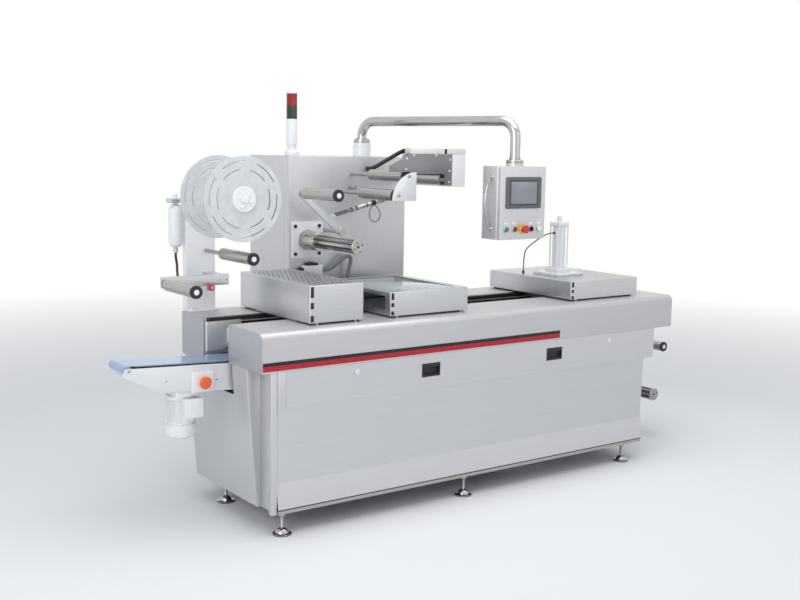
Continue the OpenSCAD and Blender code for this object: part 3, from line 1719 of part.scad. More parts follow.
module hmi_panel() {
  x0 = box_at[0] - hmi_w / 2;
  s0 = box_at[0] - screen_w / 2;
  z0 = hmi_z0 + (hmi_h - screen_h) / 2;
  y0 = box_y0 - seat;
  color("slategray") {
    difference() {
      span([x0, y0 - hmi_t, hmi_z0], [x0 + hmi_w, y0, hmi_z0 + hmi_h]);
      span([s0, y0 - hmi_t - cut, z0], [s0 + screen_w, y0 - hmi_t + screen_deep, z0 + screen_h]);
    }
    for (i = [0, 1, 3, 4])
      difference() {
        rod_y(button_x[i], button_z, y0 - bezel_t, y0, bezel_r);
        rod_y(button_x[i], button_z, y0 - bezel_t - cut, y0 + cut, button_r + fit);
      }
    for (i = [0, 1, 3, 4])
      span(
        [button_x[i] - label_w / 2, y0 - label_t, button_z + label_up - label_h / 2],
        [button_x[i] + label_w / 2, y0, button_z + label_up + label_h / 2]
      );
  }
  color("yellow")
    difference() {
      rod_y(button_x[2], button_z, y0 - screen_deep, y0, estop_disc_r);
      rod_y(button_x[2], button_z, y0 - cut, y0 + cut, estop_stem_r + fit);
    }
  color("whitesmoke") rod_y(button_x[4], button_z, y0 - button_out, y0, button_r);
}

module push_button(i, shade) {
  y0 = box_y0 - seat;
  color(shade) rod_y(button_x[i], button_z, y0 - button_out, y0 - button_travel - seat, button_r);
}

module green_button() {
  push_button(0, "green");
}

module red_button() {
  push_button(1, "darkred");
}

module selector_knob() {
  y0 = box_y0 - seat;
  color("black") {
    rod_y(button_x[3], button_z, y0 - button_out, y0 - seat, button_r);
    span(
      [button_x[3] - button_r / 4, y0 - 2 * button_out, button_z - button_r],
      [button_x[3] + button_r / 4, y0 - button_out, button_z + button_r]
    );
  }
}

module mushroom(x, z, y0, out, cap, r, stem_r, deep, shade) {
  color(shade) {
    rod_y(x, z, y0 - out + cap, y0 + deep, stem_r);
    rod_y(x, z, y0 - out, y0 - out + cap, r);
  }
}

module estop_button() {
  mushroom(button_x[2], button_z, box_y0 - seat, estop_out, estop_cap, estop_r, estop_stem_r, hmi_t, "red");
}

module conveyor_knob() {
  y0 = conv_y0 - seat - switch_d;
  mushroom(knob_at[0], knob_at[1], y0, knob_out, knob_cap, knob_r, knob_stem_r, switch_d / 2, "orangered");
}

// Conveyor drums
module drum(at) {
  color("silver") {
    rod_y(at[0], at[1], conv_y0 + conv_t + belt_gap, conv_y1 - conv_t - belt_gap, drum_r);
    rod_y(at[0], at[1], conv_y0 + seat, conv_y1 - seat, drum_axle_r);
  }
}

module conveyor_drum() {
  drum(drum_at);
}

module tail_drum() {
  drum(tail_at);
}

levelling_feet();
base_frame();
front_panel();
body_panels();
deck_front();
deck_rear();
chain_guides();
transport_chains();
exit_chute();
tower_housing();
beacon();
scrap_column();
air_unit();
air_hose();
web_brackets();
clamp_knob();
roller_axles();
film_head();
conduits();
conveyor_frame();
conveyor_belt();
conveyor_motor();
upper_tools();
drive_units();
screws();
front_flap();
flap_lock();
cover_cutting();
cover_sealing();
sealing_window();
cover_forming();
plug_cylinder();
cylinder_hose();
scrap_roller();
exit_roller();
dancer_roller();
lower_roller();
upper_roller();
head_roller();
dancer_arm();
dancer_spring();
top_mandrel();
bottom_mandrel();
bottom_roller();
winder_discs();
winder_hub();
control_arm();
control_box();
hmi_panel();
green_button();
red_button();
estop_button();
selector_knob();
conveyor_drum();
tail_drum();
conveyor_knob();
drive_shaft();
forming_die();
sealing_die();
cross_cutter();
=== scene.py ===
import math
from itertools import product
import bpy
import bmesh
from mathutils import Matrix, Vector


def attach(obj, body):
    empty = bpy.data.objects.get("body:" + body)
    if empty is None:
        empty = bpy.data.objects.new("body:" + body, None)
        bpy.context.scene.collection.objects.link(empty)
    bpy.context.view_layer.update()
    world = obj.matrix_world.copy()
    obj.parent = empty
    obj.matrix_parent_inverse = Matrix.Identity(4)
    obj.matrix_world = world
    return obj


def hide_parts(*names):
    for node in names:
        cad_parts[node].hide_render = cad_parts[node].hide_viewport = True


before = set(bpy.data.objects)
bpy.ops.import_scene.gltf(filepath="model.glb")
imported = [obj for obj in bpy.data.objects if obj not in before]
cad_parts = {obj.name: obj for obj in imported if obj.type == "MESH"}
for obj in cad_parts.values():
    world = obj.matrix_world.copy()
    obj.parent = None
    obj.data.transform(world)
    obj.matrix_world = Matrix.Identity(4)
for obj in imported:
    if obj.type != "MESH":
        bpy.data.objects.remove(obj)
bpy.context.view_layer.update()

# Camera, solved from the photo's vanishing points
eye = {"at": (-2.3179, -4.0905, 1.7), "yaw": 35.75, "pitch": 7.8, "roll": 0.91, "lens": 49.14}


def show(thing):
    bpy.context.scene.collection.objects.link(thing)


def placeCamera():
    yaw, pitch, roll = (math.radians(eye[k]) for k in ("yaw", "pitch", "roll"))
    right = Vector((math.cos(yaw), -math.sin(yaw), 0))
    ahead = Vector((math.cos(pitch) * math.sin(yaw), math.cos(pitch) * math.cos(yaw), -math.sin(pitch)))
    up = right.cross(ahead)
    side = right * math.cos(roll) + up * math.sin(roll)
    top = up * math.cos(roll) - right * math.sin(roll)
    camera = bpy.data.objects.new("camera", bpy.data.cameras.new("camera"))
    show(camera)
    camera.matrix_world = Matrix.Translation(eye["at"]) @ Matrix((side, top, -ahead)).transposed().to_4x4()
    camera.data.lens = eye["lens"]
    camera.data.sensor_width = 36
    camera.data.clip_end = 60
    bpy.context.scene.camera = camera


placeCamera()
print("camera placed")


# Directions of turned parts and bolts
toTop, toFloor, toFront, toRear, toLeft = (0, 0, 1), (0, 0, -1), (0, -1, 0), (0, 1, 0), (-1, 0, 0)


# Planes that several pieces end at, 0.3 clear of their neighbours, and the foot of the covers' sheet
rearPlane, panelTop, deckTop, coverFoot = 739.7, 739.7, 915.3, 925


# Shape helpers, all in millimetres until a piece is finished
def roundEdges(bm, verts, bevel, segments):
    edges = list({e for v in verts for e in v.link_edges})
    bmesh.ops.bevel(bm, geom=edges, offset=bevel, segments=segments, profile=0.5, affect="EDGES",
                    material=-1, clamp_overlap=True)


def addBlock(bm, low, high, bevel=0, segments=2):
    verts = bmesh.ops.create_cube(bm, size=1)["verts"]
    for v in verts:
        v.co = Vector([low[i] + (v.co[i] + 0.5) * (high[i] - low[i]) for i in range(3)])
    if bevel:
        roundEdges(bm, verts, bevel, segments)


def around(x, y, radius, angle):
    # point on a circle
    return x + radius * math.cos(angle), y + radius * math.sin(angle)


def ringOf(x, y, radius, count, start=0.0):
    return [around(x, y, radius, start + math.tau * k / count) for k in range(count)]


def arcOf(x, y, radius, start, end, steps):
    return [around(x, y, radius, start + (end - start) * k / steps) for k in range(steps + 1)]


def fluted(x, y, radius, dip, count):
    # outline of a grip with shallow flutes
    return [around(x, y, radius - dip * (k % 2), math.tau * k / count) for k in range(count)]


def addLathe(bm, at, axis, profile, sides=48, closed=False):
    # profile holds (radius, distance along the axis); it ends on the axis, or closed joins its ends
    toAxis = Vector(axis).to_track_quat("Z", "Y").to_matrix()
    rings = []
    for radius, along in profile if closed else [(0, profile[0][1]), *profile, (0, profile[-1][1])]:
        spots = ringOf(0, 0, radius, sides) if radius else [(0, 0)]
        if radius or not rings or len(rings[-1]) > 1:
            rings.append([bm.verts.new(Vector(at) + toAxis @ Vector((*spot, along))) for spot in spots])
    for a, b in zip(rings, rings[1:] + rings[:1] if closed else rings[1:]):
        for k in range(sides):
            j = (k + 1) % sides
            if len(a) == 1:
                bm.faces.new((a[0], b[j], b[k]))
            elif len(b) == 1:
                bm.faces.new((a[k], a[j], b[0]))
            else:
                bm.faces.new((a[k], a[j], b[j], b[k]))


def addRod(bm, a, b, radius, bevel=0, sides=40, inner=0):
    axis = Vector(b) - Vector(a)
    long = axis.length
    e = min(bevel, radius / 2, long / 3)
    outer = [(radius, 0), (radius, long)]
    if e:
        outer = [(radius - e, 0), (radius, e), (radius, long - e), (radius - e, long)]
    if inner:
        outer += [(inner, long), (inner, 0)]
    addLathe(bm, a, axis, outer, sides, closed=bool(inner))


def lift(point, plane, depth):
    a, b = point
    return {"x": (depth, a, b), "y": (a, depth, b), "z": (a, b, depth)}[plane]


def addPlate(bm, points, plane, near, far, bevel=0, segments=2):
    low = [bm.verts.new(lift(p, plane, near)) for p in points]
    high = [bm.verts.new(lift(p, plane, far)) for p in points]
    faces = [bm.faces.new(low), bm.faces.new(high[::-1])]
    for k in range(len(points)):
        j = (k + 1) % len(points)
        faces.append(bm.faces.new((low[k], high[k], high[j], low[j])))
    bmesh.ops.recalc_face_normals(bm, faces=faces)
    if bevel:
        rims = list({e for f in faces[:2] for e in f.edges})
        bmesh.ops.bevel(bm, geom=rims, offset=bevel, segments=segments, profile=0.5, affect="EDGES",
                        material=-1, clamp_overlap=True)


def filletPath(points, radius, steps=6):
    out = [Vector(points[0])]
    for a, b, c in zip(points, points[1:], points[2:]):
        a, b, c = Vector(a), Vector(b), Vector(c)
        u, v = (a - b).normalized(), (c - b).normalized()
        half = u.angle(v) / 2
        back = min(radius / math.tan(half), (a - b).length * 0.49, (c - b).length * 0.49)
        centre = b + (u + v).normalized() * math.hypot(back, back * math.tan(half))
        p, q = b + u * back - centre, b + v * back - centre
        for k in range(steps + 1):
            t = k / steps
            out.append(centre + (p.slerp(q, t) if p.length > 1e-6 else p))
    out.append(Vector(points[-1]))
    return out


def sheetOutline(points, thick, radius, steps=6):
    # outline of a folded sheet, thick to the left of its path
    path = [Vector(p) for p in filletPath([Vector(p) for p in points], radius, steps)]
    left = []
    for k, p in enumerate(path):
        d = (path[min(k + 1, len(path) - 1)] - path[max(k - 1, 0)]).normalized()
        left.append(p + Vector((-d.y, d.x)) * thick)
    return [tuple(p) for p in path] + [tuple(p) for p in reversed(left)]


def roundRect(x0, y0, x1, y1, radius, steps=6):
    out = []
    for cx, cy, start in ((x1 - radius, y1 - radius, 0), (x0 + radius, y1 - radius, 90),
                          (x0 + radius, y0 + radius, 180), (x1 - radius, y0 + radius, 270)):
        out += arcOf(cx, cy, radius, math.radians(start), math.radians(start + 90), steps)
    return out


def capsule(a, b, ra, rb, steps=16):
    # outline round two circles in a plane
    a, b = Vector(a), Vector(b)
    d = b - a
    turn, lean = math.atan2(d.y, d.x), math.asin((ra - rb) / d.length)
    out = []
    for centre, r, start, span in ((b, rb, turn - math.pi / 2 + lean, math.pi - 2 * lean),
                                   (a, ra, turn + math.pi / 2 - lean, math.pi + 2 * lean)):
        out += arcOf(*centre, r, start, start + span, steps)
    return out


def addTube(bm, path, radius, sides=20, radii=None):
    path = [Vector(p) for p in path]
    normal = None
    rings = []
    for k, p in enumerate(path):
        d = (path[min(k + 1, len(path) - 1)] - path[max(k - 1, 0)]).normalized()
        if normal is None:
            normal = d.orthogonal().normalized()
        normal = (normal - d * normal.dot(d)).normalized()
        other = d.cross(normal)
        r = radii[k] if radii else radius
        rings.append([bm.verts.new(p + (normal * math.cos(t) + other * math.sin(t)) * r)
                      for t in (math.tau * i / sides for i in range(sides))])
    for a, b in zip(rings, rings[1:]):
        for i in range(sides):
            j = (i + 1) % sides
            bm.faces.new((a[i], a[j], b[j], b[i]))
    bm.faces.new(rings[0][::-1])
    bm.faces.new(rings[-1])


def smoothPath(points, steps):
    # the same spline as the routes in part.scad
    p = [Vector(q) for q in points]
    out = []
    for i in range(len(p) - 1):
        a, b, c, d = p[max(i - 1, 0)], p[i], p[i + 1], p[min(i + 2, len(p) - 1)]
        for k in range(steps):
            t = k / steps
            out.append((2 * b + (c - a) * t + (2 * a - 5 * b + 4 * c - d) * t * t
                        + (3 * b - 3 * c + d - a) * t ** 3) / 2)
    return [*out, p[-1]]


def joinPart(bm, part):
    mesh = bpy.data.meshes.new("part")
    part.to_mesh(mesh)
    bm.from_mesh(mesh)
    bpy.data.meshes.remove(mesh)
    part.free()


def cutAway(bm, cutter):
    # takes one closed shape out of another
    parts = []
    for name, shape in (("kept", bm), ("cut", cutter)):
        bmesh.ops.recalc_face_normals(shape, faces=shape.faces[:])
        mesh = bpy.data.meshes.new(name)
        shape.to_mesh(mesh)
        parts.append(bpy.data.objects.new(name, mesh))
        show(parts[-1])
    taken = parts[0].modifiers.new("cut", "BOOLEAN")
    taken.operation, taken.solver, taken.object = "DIFFERENCE", "EXACT", parts[1]
    graph = bpy.context.evaluated_depsgraph_get()
    result = bmesh.new()
    result.from_mesh(parts[0].evaluated_get(graph).to_mesh())
    for o in parts:
        mesh = o.data
        bpy.data.objects.remove(o)
        bpy.data.meshes.remove(mesh)
    bm.free()
    cutter.free()
    return result


def addHex(bm, at, axis, across, high, bevel=1):
    r = across / 2 / math.cos(math.pi / 6)
    addLathe(bm, at, axis, [(r - bevel, 0), (r, bevel / 2), (r, high - bevel / 2), (r - bevel, high)], 6)


def addBolt(bm, at, axis, radius, high):
    # hexagon socket head
    addLathe(bm, at, axis, [(radius, 0), (radius, high * 0.85), (radius * 0.88, high), (radius * 0.5, high),
                            (radius * 0.45, high * 0.55)], 20)


def dress(piece, body, replaced):
    show(piece)
    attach(piece, body)
    if replaced:
        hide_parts(*replaced)
    return piece


def build(name, maker, material, body, replaced=(), width=0, clean=True):
    bm = bmesh.new()
    bm = maker(bm) or bm
    if clean:
        bmesh.ops.remove_doubles(bm, verts=bm.verts[:], dist=0.002)
        bmesh.ops.recalc_face_normals(bm, faces=bm.faces[:])
    bmesh.ops.scale(bm, vec=(0.001,) * 3, verts=bm.verts[:])
    mesh = bpy.data.meshes.new(name)
    bm.to_mesh(mesh)
    bm.free()
    mesh.materials.append(material)
    for p in mesh.polygons:
        p.use_smooth = True
    mesh.set_sharp_from_angle(angle=math.radians(32))
    piece = dress(bpy.data.objects.new(name, mesh), body, replaced)
    if width:
        rim = piece.modifiers.new("rim", "BEVEL")
        rim.width, rim.segments = width / 1000, 2
        rim.limit_method, rim.angle_limit = "ANGLE", math.radians(40)
        rim.harden_normals = False
    return piece


# Material helpers
def linear(code):
    out = []
    for i in (0, 2, 4):
        c = int(code[i:i + 2], 16) / 255
        out.append(c / 12.92 if c <= 0.04045 else ((c + 0.055) / 1.055) ** 2.4)
    return (*out, 1.0)


def addNode(tree, kind, inputs=None, **settings):
    node = tree.nodes.new("ShaderNode" + kind)
    for key, value in settings.items():
        setattr(node, key, value)
    for key, value in (inputs or {}).items():
        if isinstance(value, bpy.types.NodeSocket):
            tree.links.new(value, node.inputs[key])
        else:
            node.inputs[key].default_value = value
    return node


def makeMaterial(name, dark, pale, rough, metal, grain, bump=0.0, spread=0.08, coat=0.0, clear=0.0):
    # grain: pattern repeats per metre, one number or one each along X, Y and Z; bump in metres
    material = bpy.data.materials.new(name)
    material.use_nodes = True
    tree = material.node_tree
    shader = tree.nodes["Principled BSDF"]
    where = addNode(tree, "TexCoord").outputs["Object"]
    repeats = grain if isinstance(grain, tuple) else (grain,) * 3
    mapped = addNode(tree, "Mapping", {"Vector": where, "Scale": repeats}).outputs["Vector"]
    noise = addNode(tree, "TexNoise", {"Vector": mapped, "Scale": 1.0, "Detail": 5, "Roughness": 0.6})
    ramp = addNode(tree, "ValToRGB", {"Fac": noise.outputs["Fac"]})
    for stop, position, code in zip(ramp.color_ramp.elements, (0.3, 0.7), (dark, pale)):
        stop.position, stop.color = position, linear(code)
    tree.links.new(ramp.outputs["Color"], shader.inputs["Base Color"])
    level = addNode(tree, "MapRange", {"Value": noise.outputs["Fac"], "To Min": max(rough - spread, 0.02),
                                       "To Max": min(rough + spread, 1.0)})
    tree.links.new(level.outputs["Result"], shader.inputs["Roughness"])
    shader.inputs["Metallic"].default_value = metal
    if bump:
        relief = addNode(tree, "Bump", {"Height": noise.outputs["Fac"], "Distance": bump, "Strength": 1.0})
        tree.links.new(relief.outputs["Normal"], shader.inputs["Normal"])
    if coat:
        shader.inputs["Coat Weight"].default_value = coat
        shader.inputs["Coat Roughness"].default_value = 0.08
    if clear:
        shader.inputs["Transmission Weight"].default_value = clear
        shader.inputs["IOR"].default_value = 1.49
    return material


# Brushed stainless sheet: fine lines along X give the panels their satin streaks. The grain of this and
# the next three is drawn coarser than real grit, so that it shows
brushed = makeMaterial("brushedStainless", "c6c7ca", "d2d3d5", 0.36, 0.6, (3, 900, 900), bump=0.00002)
# The same sheet with its lines upright, for the tower, the control box and the end panels
brushedUp = makeMaterial("brushedStainlessUpright", "c5c6c8", "d2d3d5", 0.42, 0.65, (900, 900, 3),
                         bump=0.00002)
# Cover sheet, a little darker and glossier, with a coarser brushing
coverSheet = makeMaterial("coverStainless", "bbbdc0", "c8cacc", 0.3, 0.85, (4, 500, 500), bump=0.00002)
# Satin sheet of the deck rails, flat and even
deckSheet = makeMaterial("deckStainless", "bdbdbf", "cacacc", 0.46, 0.55, (3, 800, 800), bump=0.00002)
# Turned and drawn tube steel with a soft gleam
turned = makeMaterial("turnedSteel", "a1a1a0", "b6b6b4", 0.2, 1.0, (900, 14, 900), bump=0.00001, spread=0.04)
# Polished tube of the swivel arm, with long clear reflections
polished = makeMaterial("polishedTube", "a6a7a8", "c8c9ca", 0.14, 1.0, (12, 12, 400), spread=0.05)
# Machined aluminium plate with a fine even tooth
milled = makeMaterial("milledAluminium", "c3c5c8", "d6d8da", 0.36, 0.8, 300, bump=0.00003)
# Blackened steel of screws, rings and springs, nearly matt
blackOxide = makeMaterial("blackenedSteel", "26272a", "3a3c3f", 0.35, 0.6, 200, bump=0.00002)
# Grey of the deck's end caps, darker than the deck sheet as painted shade on the end faces, with a dull metal
# gleam
shadedCapGrey = makeMaterial("shadedEndCapGrey", "a4a7ac", "b2b5ba", 0.42, 0.35, 160, bump=0.00002)
# Fine-grained white powder coat of the winder column, the shaft flanges and the film head's end box
whiteCoat = makeMaterial("whitePowderCoat", "eeeff1", "f6f6f7", 0.36, 0, 420, bump=0.00003, coat=0.15)
# Galvanised frame tube, slightly mottled
frameTube = makeMaterial("galvanisedTube", "83868a", "a3a6aa", 0.45, 0.8, 24, bump=0.00003)
# Nickel-plated steel of the gripper chains, bright in the shade of their guides
chainSteel = makeMaterial("nickelChainSteel", "b4b5b6", "dcdddd", 0.34, 0.4, 160, bump=0.00005)
# Black guide plastic with a faint scuffed tooth
blackPlastic = makeMaterial("blackGuidePlastic", "121214", "232326", 0.45, 0, 220, bump=0.00004)
# Matt black foil of the stripe, the skirt strip and the screen rim
blackFoil = makeMaterial("blackFoil", "0c0c0e", "151518", 0.55, 0, 60)
# Matt crimson foil of the stripe
redFoil = makeMaterial("crimsonFoil", "a90f20", "bb1528", 0.55, 0, 60)
# White moulded plastic with a slight sheen
whitePlastic = makeMaterial("whiteMouldedPlastic", "e3e5e8", "f1f2f4", 0.32, 0, 90, bump=0.00002, coat=0.1)
# White powder coat of the conveyor's side plates
powderCoat = makeMaterial("palePowderCoat", "dcdee0", "e9eaec", 0.38, 0.25, 420, bump=0.00004)
# Bead-blasted pale plate of the flanges, the quarter plate and the plug cylinder
blastPlate = makeMaterial("blastedPalePlate", "dadcde", "eaebed", 0.42, 0.35, 380, bump=0.00004)
# Anodised plate at the front of the film head, an even mid grey
headPlate = makeMaterial("anodisedGreyPlate", "7d7e80", "8e8f91", 0.4, 0.6, 260, bump=0.00002)
# Glossy blue grey conveyor belt
beltSkin = makeMaterial("blueBeltCoating", "7f9cc4", "93aed2", 0.16, 0, (14, 180, 14), bump=0.00004, coat=0.4)
# Pale glossy paint of the cast motor housing
motorPaint = makeMaterial("motorPaint", "e4e7e9", "f0f2f3", 0.3, 0.1, 200, bump=0.00003, coat=0.2)
# Dull black rubber of hoses, rings and soles
rubber = makeMaterial("blackRubber", "17171a", "29292c", 0.6, 0, 260, bump=0.00006)
# Thin glossy red brown air hose
redHose = makeMaterial("reddishHose", "8a5a5f", "a87478", 0.3, 0, 80, coat=0.3)
# Matt grey sheath of the sensor conduit
greyHose = makeMaterial("greyConduit", "6c6f74", "83868b", 0.5, 0, 200, bump=0.00005)
# Glossy button mouldings, the clamp knob and the yellow disc under the stop button
buttonRed = makeMaterial("redButtonPlastic", "c4160f", "d92a1d", 0.28, 0, 120, coat=0.3)
buttonGreen = makeMaterial("greenButtonPlastic", "0f7a33", "1a9445", 0.28, 0, 120, coat=0.3)
buttonDark = makeMaterial("darkRedButtonPlastic", "7d0d10", "951318", 0.28, 0, 120, coat=0.3)
knobOrange = makeMaterial("orangeKnobPlastic", "e8501a", "f56a2c", 0.28, 0, 120, coat=0.4)
clampRed = makeMaterial("redKnobPlastic", "b5121b", "cf1d28", 0.3, 0, 120, coat=0.3)
estopYellow = makeMaterial("yellowDiscPlastic", "e6c21a", "f2d234", 0.35, 0, 120)
# Beacon lenses: ribbed glossy plastic, dark while the lamps are off
lensRed = makeMaterial("redLensPlastic", "8e0b10", "a81218", 0.22, 0, (160, 160, 30), spread=0.04)
lensGreen = makeMaterial("greenLensPlastic", "04301a", "0a4426", 0.22, 0, (160, 160, 30), spread=0.04)
# Slightly frosted acrylic of the winder discs, and the clear window sheet
acrylic = makeMaterial("frostedClearSheet", "dadee1", "eaecee", 0.2, 0, 30, clear=0.25, spread=0.05)
windowClear = makeMaterial("clearWindowSheet", "dfe8ec", "edf3f5", 0.06, 0, 20, clear=0.6, spread=0.03)
# Smooth glass of the operator screen, grey while it is off
screenGlass = makeMaterial("darkScreenGlass", "7b7f86", "888c93", 0.12, 0, 8, coat=0.6, spread=0.03)
# Dark painted frame round the screen
panelGrey = makeMaterial("greyPanelFrame", "54575c", "666a6f", 0.4, 0.2, 200, bump=0.00003)
# Tool plates and painted drives inside the machine
toolPlate = makeMaterial("toolAluminium", "92959a", "b2b5b9", 0.33, 0.95, (18, 500, 500), bump=0.00002)
drivePaint = makeMaterial("bluePaintedDrive", "59636f", "6e7985", 0.45, 0.2, 130, bump=0.00005)
print("materials made")

# Cords and hoses, first of the pieces: their routes are the solids' own, in millimetres
routes = {
    "cylinderHose": [(1845, 500, 1036), (1845, 500, 1080), (1847, 498, 1120), (1853, 488, 1160),
        (1880, 448, 1205), (1912, 400, 1244), (1932, 376, 1254), (1944, 372, 1255)],
    "airHose": [(-152, 760, 1199), (-152, 760, 1192), (-152, 760, 1184), (-151, 758, 1166),
        (-154, 742, 1142), (-172, 700, 1116), (-192, 650, 1096), (-203, 622, 1086), (-205, 606, 1085),
        (-205, 598, 1085), (-205, 590.3, 1085)],
    "sensorConduit": [(639, 720, 1080), (650, 720, 1080), (661, 720, 1080), (692, 716, 1086),
        (730, 708, 1112), (768, 702, 1142), (796, 698, 1146), (806, 698, 1126), (796, 700, 1080),
        (786, 702, 1020), (780, 702, 960), (780, 702, 938), (780, 702, 915)],
    "damperWire": [(886, 620, 1413), (884, 620, 1409), (880, 620, 1403), (873, 620, 1394),
        (868, 620, 1376), (869, 620, 1356), (878, 620, 1339), (893, 620, 1330), (908, 620, 1329),
        (923, 620, 1337), (934, 620, 1352), (937, 620, 1370), (929, 620, 1390), (914, 620, 1407),
        (903, 620, 1412), (898, 620, 1416)],
    "ribbedConduit": [(933, 740, 1602), (933, 726, 1602), (933, 712, 1602), (941, 697, 1607),
        (961, 681, 1621), (989, 666, 1640), (1019, 650, 1660), (1047, 635, 1679), (1067, 619, 1693),
        (1075, 604, 1698), (1075, 590, 1698), (1075, 576, 1698)],
}


def addCord(name, steps, radius, material, body, replaced=()):
    line = smoothPath(routes[name], steps)
    curve = bpy.data.curves.new(name, "CURVE")
    curve.dimensions, curve.use_fill_caps = "3D", True
    curve.bevel_depth, curve.bevel_resolution = radius / 1000, 5
    spline = curve.splines.new("POLY")
    spline.points.add(len(line) - 1)
    for point, p in zip(spline.points, line):
        point.co = (*(p / 1000), 1)
    spline.use_smooth = True
    curve.materials.append(material)
    piece = dress(bpy.data.objects.new(name, curve), body, replaced)


addCord("cylinderHose", 5, 4, redHose, "forming_cover", ["cylinder_hose"])
addCord("airHose", 3, 6, rubber, "machine", ["air_hose"])
addCord("sensorConduit", 3, 10, greyHose, "machine", ["conduits"])
addCord("damperWire", 2, 2, rubber, "machine")


def ribbedConduit(bm):
    line = smoothPath(routes["ribbedConduit"], 12)
    addTube(bm, line, 12, 20, [12 if k % 3 == 0 else 10.4 for k in range(len(line))])


ribs = build("ribbedConduit", ribbedConduit, blackPlastic, "machine")
print("cords made")

# Levelling feet
feet = [(x, y, 97) for x in (0, 1033.2, 2166) for y in (0, 548)] + [(517, 1096, 150), (1121, 1096, 150)]
bell = [(42.2, 2.6), (43, 4), (43, 6.6), (41, 8), (31, 9.5), (29, 13), (26.5, 19), (21, 25.5), (13, 30),
        (9.5, 32)]


def feetMetal(bm):
    for x, y, top in feet:
        addLathe(bm, (x, y, 0), toTop, bell, 56)
        rings = [(0, 31)]
        for k in range(int((top - 34) / 3)):
            rings += [(7.3, 32 + 3 * k), (8, 33.5 + 3 * k)]
        addLathe(bm, (x, y, 0), toTop, [*rings, (8, top - 0.2)], 20)
        addHex(bm, (x, y, top - 12), toTop, 26, 12)


def feetSoles(bm):
    for x, y, _ in feet:
        addLathe(bm, (x, y, 0), toTop, [(41, 0), (42.6, 0.8), (42.6, 2.4)])


build("feetMetal", feetMetal, turned, "machine", ["levelling_feet"], clean=False)
build("feetSoles", feetSoles, rubber, "machine")

# Front panel: one folded sheet, flared at its foot
panel = {"x0": -40, "x1": 2280, "path": [(-39, 125), (-14, 240), (-31, 575.7)]}
skirt = {"strip": [(-39.2, 125), (-39.2, 121), (-12, 121)],
         "rail": [(-36, 103.2), (-36, 120.6), (-11, 120.6)]}


def foldedStrip(path, thick, radius, steps=6):
    return lambda bm: addPlate(bm, sheetOutline(path, -thick, radius, steps), "x", panel["x0"], panel["x1"])


def frontPanel(bm):
    foldedStrip(panel["path"], 3, 10, 5)(bm)
    addBlock(bm, (panel["x0"], -31, 575.2), (4.7, -28, panelTop), 0.6)


build("frontPanel", frontPanel, brushed, "machine", ["front_panel"], width=0.7)
build("skirtStrip", foldedStrip(skirt["strip"], 1, 1.5), blackFoil, "machine")
build("skirtRail", foldedStrip(skirt["rail"], 3, 3), turned, "machine", width=0.5)


# Left end: corner channel, filler sheet and the inclined cover
def leftChannel(bm):
    addBlock(bm, (-70, -30.7, 103), (-40.3, -3.7, panelTop), 3, 3)
    addBlock(bm, (-43, -3.4, 103), (-40.3, 116.7, panelTop), 0.5)


def leftCover(bm):
    outline = [(-40, 103), (-62, 103), (-110, 690), (-110, panelTop), (-40, panelTop)]
    addPlate(bm, outline, "y", 117, rearPlane, 2)
    tunnel = bmesh.new()
    addBlock(tunnel, (-120, 259, 597), (-30, 522, 760))
    inner = bmesh.new()
    addPlate(inner, [(-30, 106), (-59.3, 106), (-107, 690), (-107, 736.7), (-30, 736.7)], "y", 120, 736.7)
    return cutAway(cutAway(bm, tunnel), inner)


build("leftChannel", leftChannel, brushedUp, "machine")
build("leftCover", leftCover, brushedUp, "machine", ["body_panels"], width=0.6)


def rightAndRear(bm):
    addBlock(bm, (2277, -10.7, 103), (2280, rearPlane, panelTop), 0.8)
    addBlock(bm, (-40, 740, 103), (456.7, 743, 710.7), 0.8)
    addBlock(bm, (1181.3, 740, 103), (2189.7, 743, 710.7), 0.8)
    for x, z in product((-20, 436, 1200, 1695, 2170), (125, 400, 690)):
        addBolt(bm, (x, 743, z), toRear, 6, 3)


build("rightAndRearPanels", rightAndRear, brushedUp, "machine")
print("base done")

# Flap under the deck
flap = {"x0": 5, "x1": 2358, "z0": 576, "z1": 739.4, "handles": (794, 1597)}


def flapSheet(bm):
    # only its lower right corner is round
    x0, x1, z0, z1 = (flap[key] for key in ("x0", "x1", "z0", "z1"))
    corner = [(x, z) for x, z in roundRect(x0, z0, x1, z1, 25) if x > 1200 and z < 650]
    addPlate(bm, [(x1, z1), (x0, z1), (x0, z0), *corner], "y", -31, -28)
    for x in flap["handles"]:
        hole = bmesh.new()
        addBlock(hole, (x - 50, -40, 640), (x + 50, -20, 694))
        bm = cutAway(bm, hole)
    addRod(bm, (x0, -28, 579), (2332.5, -28, 579), 3, sides=16)
    return bm


def flapHandles(bm):
    for x in flap["handles"]:
        outer = bmesh.new()
        addBlock(outer, (x - 55, -33, 634), (x + 55, -11.2, 700), 3, 3)
        pocket = bmesh.new()
        addBlock(pocket, (x - 46, -60, 646), (x + 46, -14, 688), 4, 3)
        part = cutAway(outer, pocket)
        addBlock(part, (x - 46, -32, 680), (x + 46, -28.5, 689), 1.2)
        joinPart(bm, part)


build("flapSheet", flapSheet, brushed, "flap", ["front_flap"], width=0.5)
build("flapHandles", flapHandles, blackPlastic, "flap")


def lockDisc(x, z):
    def maker(bm):
        addLathe(bm, (x, -36, z), toRear, [(4, 1.2), (4.2, 0.4), (10.8, 0), (12, 1), (12, 12.9)], 40)
        addBlock(bm, (x - 6, -36.2, z - 1.4), (x + 6, -34.6, z + 1.4), 0.5)
    return maker


build("flapLock", lockDisc(2000, 701), blastPlate, "lock", ["flap_lock"])
build("flapLockLeft", lockDisc(373, 701), blastPlate, "flap")

